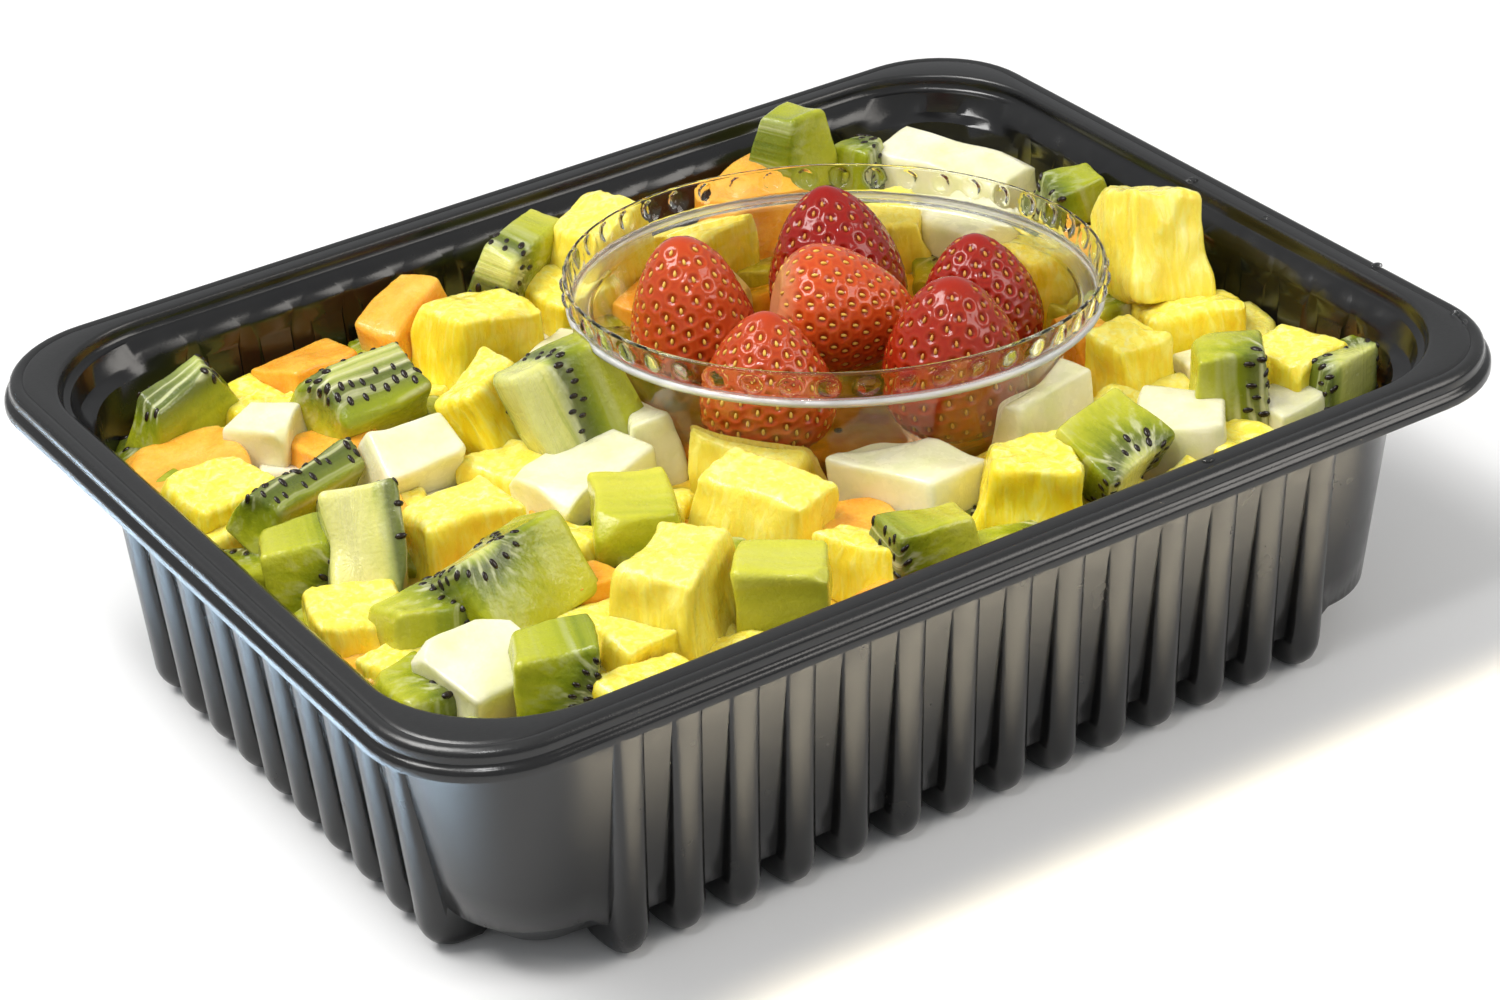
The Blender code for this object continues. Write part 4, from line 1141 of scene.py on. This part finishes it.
def cube_lattice(steps):
    """The points of a cube's surface from -1 to 1, divided evenly, and its quads."""
    index = {}
    for place in product(range(steps + 1), repeat=3):
        if 0 in place or steps in place:
            index[place] = len(index)
    faces = []
    for axis in range(3):
        others = [other for other in range(3) if other != axis]
        for end in (0, steps):
            for u, v in product(range(steps), repeat=2):
                corners = []
                for du, dv in ((0, 0), (1, 0), (1, 1), (0, 1)):
                    place = [0, 0, 0]
                    place[axis] = end
                    place[others[0]] = u + du
                    place[others[1]] = v + dv
                    corners.append(index[tuple(place)])
                flip = (end == 0) == (axis != 1)
                faces.append(corners[::-1] if flip else corners)
    points = np.array(list(index), float) * 2 / steps - 1
    return points, np.array(faces)


BLOCK_LATTICE = cube_lattice(BLOCK_STEPS)
FILLER_LATTICE = cube_lattice(FILLER_STEPS)


def lattice_of(number):
    """The divided cube that a piece is made from, finer for the pieces on top."""
    return BLOCK_LATTICE if number < len(FRUIT) else FILLER_LATTICE


def filler_rows():
    """The low pieces, as rows like those of FRUIT, kept from the cup and from under other pieces."""
    rng = random.Random(FILLER_START)
    rows = []
    for column, row in product(
        range(-FILLER_COLUMNS, FILLER_COLUMNS + 1), range(-FILLER_ROWS, FILLER_ROWS + 1)
    ):
        x = column * FILLER_PITCH + rng.uniform(-FILLER_JITTER, FILLER_JITTER)
        y = row * FILLER_PITCH + rng.uniform(-FILLER_JITTER, FILLER_JITTER)
        kind = rng.choice(FILLER_KINDS)
        size = (rng.uniform(*FILLER_LENGTH), rng.uniform(*FILLER_LENGTH), rng.uniform(*FILLER_DEPTH))
        turn = (
            rng.uniform(0.0, 90.0),
            rng.uniform(-FILLER_TILT, FILLER_TILT),
            rng.uniform(-FILLER_TILT, FILLER_TILT),
        )
        top = FILLER_TOP + rng.uniform(-FILLER_TOP_SPREAD, FILLER_TOP_SPREAD)
        near_cup = math.hypot(x - CUP_CENTRE.x, y - CUP_CENTRE.y) < FILLER_CUP_REACH
        covered = any(math.hypot(x - other[1][0], y - other[1][1]) < FILLER_COVERED for other in FRUIT)
        if not near_cup and not covered:
            rows.append((kind, (x, y, top - size[2] / 2), size, turn, FILLER_TOP_SHARE))
    return rows


def block_corners(size, top_share, number):
    """The eight corners of a block, in the same order and with the same draws as in its solid."""
    rng = random.Random(number)
    corners = []
    for x, y, z in product((-0.5, 0.5), repeat=3):
        if z > 0:
            x *= top_share[0]
            y *= top_share[1]
        jitter = [rng.uniform(-CORNER_JITTER, CORNER_JITTER) for _ in range(3)]
        corners.append([(v + j) * side for v, j, side in zip((x, y, z), jitter, size)])
    return np.array(corners)


def turn_about(axis, degrees):
    """The matrix of a turn about X, Y or Z, given as 0, 1 or 2."""
    first, second = (axis + 1) % 3, (axis + 2) % 3
    angle = math.radians(degrees)
    matrix = np.identity(3)
    matrix[first, first] = matrix[second, second] = math.cos(angle)
    matrix[first, second] = -math.sin(angle)
    matrix[second, first] = math.sin(angle)
    return matrix


def turn_matrix(turn):
    yaw, tilt, roll = turn
    return turn_about(2, yaw) @ turn_about(0, tilt) @ turn_about(1, roll)


def block_surface(kind, size, top_share, number):
    """A block's points in its own frame, with rounded edges, lumps and grain."""
    radius, lump, lump_spacing, grain, grain_spacing, stretch = FINISH[kind]
    half = np.array(size) / 2
    lattice = lattice_of(number)[0]
    eased = (1 - EDGE_EASING) * lattice + EDGE_EASING * np.sin(lattice * math.pi / 2)
    box = eased * half
    radius = min(radius, half.min() * THICKEST_EDGE)
    inner = np.clip(box, radius - half, half - radius)
    out = box - inner
    out /= np.linalg.norm(out, axis=1)[:, None]
    share = (inner + out * radius) / half
    points = np.zeros_like(share)
    for corner, signs in zip(block_corners(size, top_share, number), product((-1, 1), repeat=3)):
        weight = ((1 + share * np.array(signs)) / 2).prod(axis=1)
        points += weight[:, None] * corner
    shift = number * NOISE_STEP
    low = smooth_noise(points / lump_spacing + shift, number)
    fine_space = points / grain_spacing * np.array((1.0, 1.0, 1.0 / stretch)) + shift
    fine = smooth_noise(fine_space, number + FINE_START)
    fine += FINER_SHARE * smooth_noise(fine_space * FINER_SCALE, number + FINER_START)
    points += out * (lump * low + grain * fine)[:, None]
    for axis in range(3):
        start = number + WARP_START + axis * WARP_STEP
        points[:, axis] += WARP * smooth_noise(points / WARP_LENGTH + shift, start)
    return cut_corners(points, half, number)


def cut_corners(points, half, number):
    """The block with flat cuts across some of its corners and edges, as a knife leaves them."""
    rng = random.Random(number + CUT_START)
    for _ in range(CORNER_CUTS):
        way = np.array([rng.choice((-1, 1)) * rng.uniform(*CUT_LEAN) for _ in range(3)])
        way = unit(way / half)
        reach = np.abs(way * half).sum() * rng.uniform(*CUT_REACH)
        past = np.clip(points @ way - reach, 0.0, None)
        points = points - CUT_FLATNESS * past[:, None] * way
    return points


def kiwi_radial(points_mm, number):
    """(way round, way round, distance out) from the fruit's own axis, for each point of a piece."""
    centre, along, _ = KIWI_AXES.get(number, PLAIN_KIWI_AXIS)
    away = points_mm - np.array(centre)
    first, second = [axis for axis in range(3) if axis != "xyz".index(along)]
    distance = np.hypot(away[:, first], away[:, second])
    safe = np.maximum(distance, 1e-6)
    return np.stack((away[:, first] / safe, away[:, second] / safe, distance), axis=1)


def settle(points):
    return keep_in_tray(keep_out_of_cup(points))


def make_fruit(kind, material):
    """All the pieces of one kind of fruit, as one piece. It returns what the seeds need to know."""
    places = []
    faces = []
    grains = []
    tones = []
    radials = []
    found = []
    for number, (row_kind, centre, size, turn, top_share) in enumerate([*FRUIT, *filler_rows()]):
        if row_kind != kind:
            continue
        local = block_surface(kind, size, top_share, number)
        points = settle(local @ turn_matrix(turn).T + np.array(centre))
        start = sum(len(batch) for batch in places)
        radial = kiwi_radial(local / MM, number)
        places.append(points)
        faces += (lattice_of(number)[1] + start).tolist()
        grains.append(local / MM + number * GRAIN_STEP_MM)
        tones.append(np.full(len(points), random.Random(number + TONE_START).random()))
        radials.append(radial)
        found.append((number, points, radial))
    fruit = mesh_object(f"{kind}_chunks", np.concatenate(places), faces, material)
    store_vectors(fruit, "grain", np.concatenate(grains))
    store_vectors(fruit, "radial", np.concatenate(radials))
    store_floats(fruit, "tone", np.concatenate(tones))
    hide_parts("fruit_heap")
    return found


def ellipsoid(sides, rings):
    """A unit ball's points and faces, closed at both ends."""
    points = [(0.0, 0.0, -1.0)]
    for ring in range(1, rings):
        lift = math.pi * ring / rings
        for side in range(sides):
            turn = math.tau * side / sides
            wide = math.sin(lift)
            points.append((wide * math.cos(turn), wide * math.sin(turn), -math.cos(lift)))
    points.append((0.0, 0.0, 1.0))
    top = len(points) - 1
    faces = fan(0, 1, sides, turned=True) + ring_faces(rings - 1, sides, 1)
    return np.array(points), faces + fan(top, top - sides, sides)


def placed_balls(places, sides, rings, taper=0.0):
    """Many ellipsoids joined: each place has a middle, three directions and three half sizes."""
    ball, ball_faces = ellipsoid(sides, rings)
    points = []
    faces = []
    for middle, axes, sizes in places:
        start = len(points) * len(ball)
        narrow = 1.0 - taper * (ball[:, 1:2] + 1) / 2
        shaped = ball * np.concatenate((narrow, np.ones_like(narrow), narrow), axis=1)
        points.append(middle + (shaped * np.array(sizes)) @ np.array(axes))
        faces += [tuple(corner + start for corner in face) for face in ball_faces]
    return np.concatenate(points), faces


def unit(vector):
    return vector / max(np.linalg.norm(vector), 1e-9)


def outward_way(quad, distances, normal):
    """The way along a small quad in which its corners' distances from the fruit's axis grow."""
    side = quad[1] - quad[0]
    edge = quad[3] - quad[0]
    first = unit(side)
    second = np.cross(normal, first)
    first_slope = (distances[1] - distances[0]) / max(np.linalg.norm(side), 1e-9)
    second_slope = (distances[3] - distances[0]) / max(np.linalg.norm(edge), 1e-9)
    way = unit(first * first_slope + second * second_slope * np.sign(edge @ second))
    return way if np.linalg.norm(way) >= 0.5 else first


def seed_places(number, points, radial):
    """Where the seeds lie on one kiwi piece: on its surface, in the ring round the fruit's core.

    The half that faces front and up has the same greatest number as the other half.
    """
    rng = random.Random(number + PIP_START)
    most = KIWI_AXES.get(number, PLAIN_KIWI_AXIS)[2]
    lattice_faces = lattice_of(number)[1]
    quads = points[lattice_faces]
    middles = quads.mean(axis=1)
    normals = np.cross(quads[:, 2] - quads[:, 0], quads[:, 3] - quads[:, 1])
    distances = radial[lattice_faces][:, :, 2]
    out = distances.mean(axis=1)
    wanted = [i for i in range(len(middles)) if SEED_RING_MM[0] < out[i] < SEED_RING_MM[1]]
    rng.shuffle(wanted)
    taken = []
    places = []
    left_over = {True: most, False: most}
    for i in wanted:
        shown = bool(normals[i] @ SHOWN_SIDE > 0)
        if left_over[shown] == 0:
            continue
        if any(np.linalg.norm(middles[i] - other) < SEED_SPACING_MM * MM for other in taken):
            continue
        normal = unit(normals[i])
        long_way = outward_way(quads[i], distances[i], normal)
        axes = (long_way, np.cross(normal, long_way), normal)
        scale = rng.uniform(*SEED_SCALE)
        places.append((middles[i] - normal * SEED_SINK, axes, [size * scale for size in SEED_SIZE]))
        taken.append(middles[i])
        left_over[shown] -= 1
    return places


def make_kiwi_seeds(found):
    places = []
    for number, points, radial in found:
        places += seed_places(number, points, radial)
    points, faces = placed_balls(places, SEED_SIDES, SEED_RINGS)
    seeds = mesh_object("kiwi_seeds", settle(points), faces, kiwi_seed_skin())
    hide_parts("fruit_heap")


def core_top():
    """The points of the core's lumpy top, kept below the cup and inside the tray."""
    across = np.linspace(-1, 1, CORE_STEPS_X + 1)
    deep = np.linspace(-1, 1, CORE_STEPS_Y + 1)
    half_length = TRAY_LENGTH / 2 - FOOD_WALL_INSET
    half_width = TRAY_WIDTH / 2 - FOOD_WALL_INSET
    x, y = np.meshgrid(across * half_length, deep * half_width)
    flat = np.stack((x.ravel(), y.ravel(), np.full(x.size, CORE_LEVEL)), axis=1)
    low = smooth_noise(flat / CORE_LUMP_SPACING, CORE_STARTS[0])
    fine = smooth_noise(flat / CORE_GRAIN_SPACING, CORE_STARTS[1])
    flat[:, 2] += CORE_LUMP * low + CORE_GRAIN * fine
    _, radius, _ = cup_places(flat)
    under = np.interp(
        radius,
        (CUP_BASE_RADIUS + CORE_CUP_GAP, CUP_BOWL_RADIUS + CORE_CUP_GAP, CUP_RIM_RADIUS + CORE_RIM_GAP),
        (-CUP_DEPTH, CUP_BOWL_TOP, CORE_FREE_HEIGHT),
    ) - CUP_GAP
    up = CUP_AXIS.normalized()
    lean = (flat[:, 0] - CUP_CENTRE.x) * up.x + (flat[:, 1] - CUP_CENTRE.y) * up.y
    ceiling = CUP_CENTRE.z + (under - lean) / up.z
    flat[:, 2] = np.minimum(flat[:, 2], ceiling)
    return keep_in_tray(flat)


def grid_edge(columns, rows):
    """The numbers of the points round the edge of a grid, one after another."""
    edge = list(range(columns))
    edge += [row * columns + columns - 1 for row in range(1, rows)]
    edge += [(rows - 1) * columns + column for column in range(columns - 2, -1, -1)]
    edge += [row * columns for row in range(rows - 2, 0, -1)]
    return edge


def make_core():
    """The mass of fruit under the pieces: a lumpy top, and plain sides down the tray's wall."""
    top = core_top()
    columns = CORE_STEPS_X + 1
    rows = CORE_STEPS_Y + 1
    faces = []
    for row in range(rows - 1):
        for column in range(columns - 1):
            a = row * columns + column
            faces.append((a, a + 1, a + 1 + columns, a + columns))
    edge = grid_edge(columns, rows)
    foot = top[edge].copy()
    foot[:, 2] = CORE_FOOT
    foot = keep_in_tray(foot)
    foot[:, :2] *= CORE_FOOT_SHARE
    start = len(top)
    for i in range(len(edge)):
        j = (i + 1) % len(edge)
        faces.append((edge[i], start + i, start + j, edge[j]))
    faces.append(tuple(reversed(range(start, start + len(edge)))))
    points = np.concatenate((top, foot))
    core = mesh_object("fruit_core", points, faces, core_flesh())
    store_vectors(core, "grain", points / MM)
    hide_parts("fruit_heap")


# The strawberries


def berry_surface(length, width):
    """A berry's points ring by ring, and how far up it each ring lies."""
    share = (np.arange(BERRY_RINGS) + 0.5) / BERRY_RINGS
    radius = width / 2 * np.sin(math.pi * share**BERRY_SHOULDER) ** BERRY_FULLNESS
    turns = np.arange(BERRY_SIDES) / BERRY_SIDES * math.tau
    x = radius[:, None] * np.cos(turns)
    y = radius[:, None] * np.sin(turns) * BERRY_SQUASH
    z = np.repeat((length * (share - 0.5))[:, None], BERRY_SIDES, axis=1)
    points = np.stack((x, y, z), axis=2).reshape(-1, 3)
    return points, np.repeat(share, BERRY_SIDES)


def ring_normals(points, rings, count):
    """The outward direction at each point of a closed stack of rings."""
    grid = points.reshape(rings, count, 3)
    round_way = np.roll(grid, -1, axis=1) - np.roll(grid, 1, axis=1)
    up_way = np.gradient(grid, axis=0)
    normals = np.cross(round_way, up_way).reshape(-1, 3)
    return normals / np.maximum(np.linalg.norm(normals, axis=1), 1e-12)[:, None]


def achene_points(points, seed):
    """Evenly spread places on a berry, along a spiral by the golden angle."""
    golden = math.pi * (3 - math.sqrt(5))
    grid = points.reshape(BERRY_RINGS, BERRY_SIDES, 3)
    step = np.linalg.norm(np.diff(grid[:, 0], axis=0), axis=1)
    width = np.hypot(grid[:, 0, 0], grid[:, 0, 1])
    area = np.concatenate(((0.0,), np.cumsum(step * (width[1:] + width[:-1]) / 2)))
    area /= area[-1]
    rng = random.Random(seed)
    found = []
    for i in range(ACHENES):
        target = ACHENE_START + ACHENE_SPREAD * (i + 0.5) / ACHENES
        ring = np.interp(target, area, np.arange(BERRY_RINGS))
        ring += rng.uniform(-ACHENE_RING_WANDER, ACHENE_RING_WANDER)
        turn = (i * golden + rng.uniform(-ACHENE_TURN_WANDER, ACHENE_TURN_WANDER)) % math.tau
        ring = int(min(max(round(ring), 1), BERRY_RINGS - 2))
        side = int(round(turn / math.tau * BERRY_SIDES)) % BERRY_SIDES
        found.append(ring * BERRY_SIDES + side)
    return found


def dimples(points, spots):
    """How far each point of a berry lies in a seed's dimple, and how far on the rim round one."""
    away = np.full(len(points), 1.0)
    for spot in spots:
        away = np.minimum(away, np.linalg.norm(points - points[spot], axis=1))
    pit = np.exp(-((away / DIMPLE_RADIUS) ** 2))
    rim = np.exp(-(((away - DIMPLE_RIM_RADIUS) / DIMPLE_RIM_WIDTH) ** 2))
    return pit, rim


def make_strawberry(number, name, centre, length, width, tip, ripeness):
    """One berry, with a dimple and a raised rim for each of its seeds, whose places it returns."""
    points, share = berry_surface(length, width)
    normals = ring_normals(points, BERRY_RINGS, BERRY_SIDES)
    spots = achene_points(points, number)
    pit, rim = dimples(points, spots)
    ends = np.clip(np.minimum(share, 1 - share) / BERRY_PLAIN_ENDS, 0.0, 1.0)
    lumps = smooth_noise(points / BERRY_LUMP_SPACING + number * BERRY_NOISE_STEP, number + BERRY_START)
    relief = DIMPLE_RIM_HEIGHT * rim - DIMPLE_DEPTH * pit
    shaped = points + normals * ((relief * ends) + BERRY_LUMP * lumps * ends)[:, None]
    turn = np.array(Vector(tip).to_track_quat("Z", "Y").to_matrix())
    world = shaped @ turn.T + np.array(centre)
    hull = np.array((0.0, 0.0, BERRY_HULL_DEPTH - length / 2)) @ turn.T + np.array(centre)
    point = np.array((0.0, 0.0, length / 2 - BERRY_TIP_INSET)) @ turn.T + np.array(centre)
    count = len(world)
    faces = ring_faces(BERRY_RINGS, BERRY_SIDES) + fan(count, 0, BERRY_SIDES, turned=True)
    faces += fan(count + 1, count - BERRY_SIDES, BERRY_SIDES)
    skin = strawberry_skin(ripeness, number)
    world_points = np.concatenate((world, [hull, point]))
    berry = mesh_object(name + "_skin", world_points, faces, skin)
    # Painted shade in the dimples and a painted highlight on their rims, for the skin's colour
    raised = np.clip(RELIEF_LEVEL + (1 - RELIEF_LEVEL) * rim - PIT_PAINTED_SHADE * pit, 0, 1)
    store_floats(berry, "height", np.concatenate((share, (0.0, 1.0))))
    store_floats(berry, "relief", np.concatenate((raised, (0.5, 0.5))))
    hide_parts(name)
    places = []
    for spot in spots:
        normal = unit(normals[spot] @ turn.T)
        up = unit(turn[:, 2] - normal * normal.dot(turn[:, 2]))
        across = np.cross(up, normal)
        middle = world[spot] + normal * ACHENE_RISE
        places.append((middle, (across, up, normal), ACHENE_SIZE))
    return places


def make_strawberries():
    """The six berries, and all their seeds as one piece, browner on the riper berries."""
    places = []
    tones = []
    for number, row in enumerate(STRAWBERRIES):
        found = make_strawberry(number, *row)
        places += found
        tones += [float(row[-1] > RIPE_FROM)] * len(found)
    points, faces = placed_balls(places, SEED_SIDES, SEED_RINGS, ACHENE_TAPER)
    seeds = mesh_object("strawberry_seeds", points, faces, achene_skin())
    store_floats(seeds, "tone", np.repeat(tones, len(points) // len(tones)))


# Floor, light and camera


def make_floor():
    mesh = bpy.data.meshes.new("floor")
    half = FLOOR_SIZE / 2
    corners = [(-half, -half, 0), (half, -half, 0), (half, half, 0), (-half, half, 0)]
    mesh.from_pydata(corners, [], [(0, 1, 2, 3)])
    mesh.materials.append(floor_material())
    floor = bpy.data.objects.new("floor", mesh)
    bpy.context.scene.collection.objects.link(floor)


def soft_light(name, place, aim, sides, power, colour, spread=WIDE):
    """A rectangular area light that faces a point and that the camera doesn't see.

    A narrow one only lights the floor, and shows in no reflection.
    """
    lamp = bpy.data.lights.new(name, "AREA")
    lamp.shape = "RECTANGLE"
    lamp.size, lamp.size_y = sides
    lamp.energy = power
    lamp.color = colour
    lamp.spread = math.radians(spread)
    thing = bpy.data.objects.new(name, lamp)
    thing.location = place
    thing.rotation_euler = (Vector(aim) - Vector(place)).to_track_quat("-Z", "Y").to_euler()
    thing.visible_camera = False
    thing.visible_glossy = spread == WIDE
    bpy.context.scene.collection.objects.link(thing)


def floor_light(name, x, y, height, sides, power, colour, spread):
    soft_light(name, (x, y, height), (x, y, 0.0), sides, power, colour, spread)


def make_light():
    """A key, a fill, a small light for glints, and two low ones that tint the floor by two walls."""
    middle = (0.0, 0.0, 0.03)
    soft_light("key", (-0.42, 0.20, 0.90), middle, (0.50, 0.50), 9.2, (1.0, 0.99, 0.97))
    soft_light("fill", (0.60, -0.60, 0.60), middle, (0.50, 0.50), 3.2, (1.0, 0.96, 0.90))
    soft_light("glint", (-0.30, -0.30, 0.75), middle, (0.09, 0.09), 1.2, (1.0, 1.0, 1.0))
    floor_light("floor_left", -0.175, 0.05, 0.16, (0.06, 0.24), 0.55, (0.55, 0.78, 1.0), 30.0)
    floor_light("floor_front", 0.06, -0.125, 0.10, (0.26, 0.04), 0.125, (1.0, 0.86, 0.60), 24.0)


def make_sky():
    """A nearly even pale sky, a little brighter towards one side."""
    world = bpy.data.worlds.new("studio")
    world.use_nodes = True
    tree = world.node_tree
    sky = tree.nodes["Background"]
    sky.inputs["Color"].default_value = (0.96, 0.98, 1.0, 1.0)
    way = add_node(tree, "TexCoord").outputs["Generated"]
    toward = add_node(tree, "VectorMath", {0: way, 1: BRIGHT_SIDE}, operation="DOT_PRODUCT")
    levels = {
        "Value": toward.outputs["Value"],
        "From Min": -1.0,
        "To Min": SKY_STRENGTH[0],
        "To Max": SKY_STRENGTH[1],
    }
    strength = add_node(tree, "MapRange", levels)
    tree.links.new(strength.outputs["Result"], sky.inputs["Strength"])
    bpy.context.scene.world = world


def make_camera():
    lens = bpy.data.cameras.new("camera")
    lens.lens = LENS_MM
    lens.sensor_width = SENSOR_WIDTH_MM
    camera = bpy.data.objects.new("camera", lens)
    camera.location = CAMERA_PLACE
    camera.rotation_euler = [math.radians(degrees) for degrees in CAMERA_TURN]
    bpy.context.scene.collection.objects.link(camera)
    bpy.context.scene.camera = camera
    bpy.context.scene.view_settings.view_transform = "Standard"


def main():
    make_camera()
    make_floor()
    make_light()
    make_sky()
    make_tray()
    make_cup()
    make_droplets()
    make_core()
    kiwis = make_fruit("kiwi", kiwi_flesh())
    make_kiwi_seeds(kiwis)
    make_fruit("pineapple", pineapple_flesh())
    make_fruit("honeydew", honeydew_flesh())
    make_fruit("cantaloupe", cantaloupe_flesh())
    make_strawberries()


main()
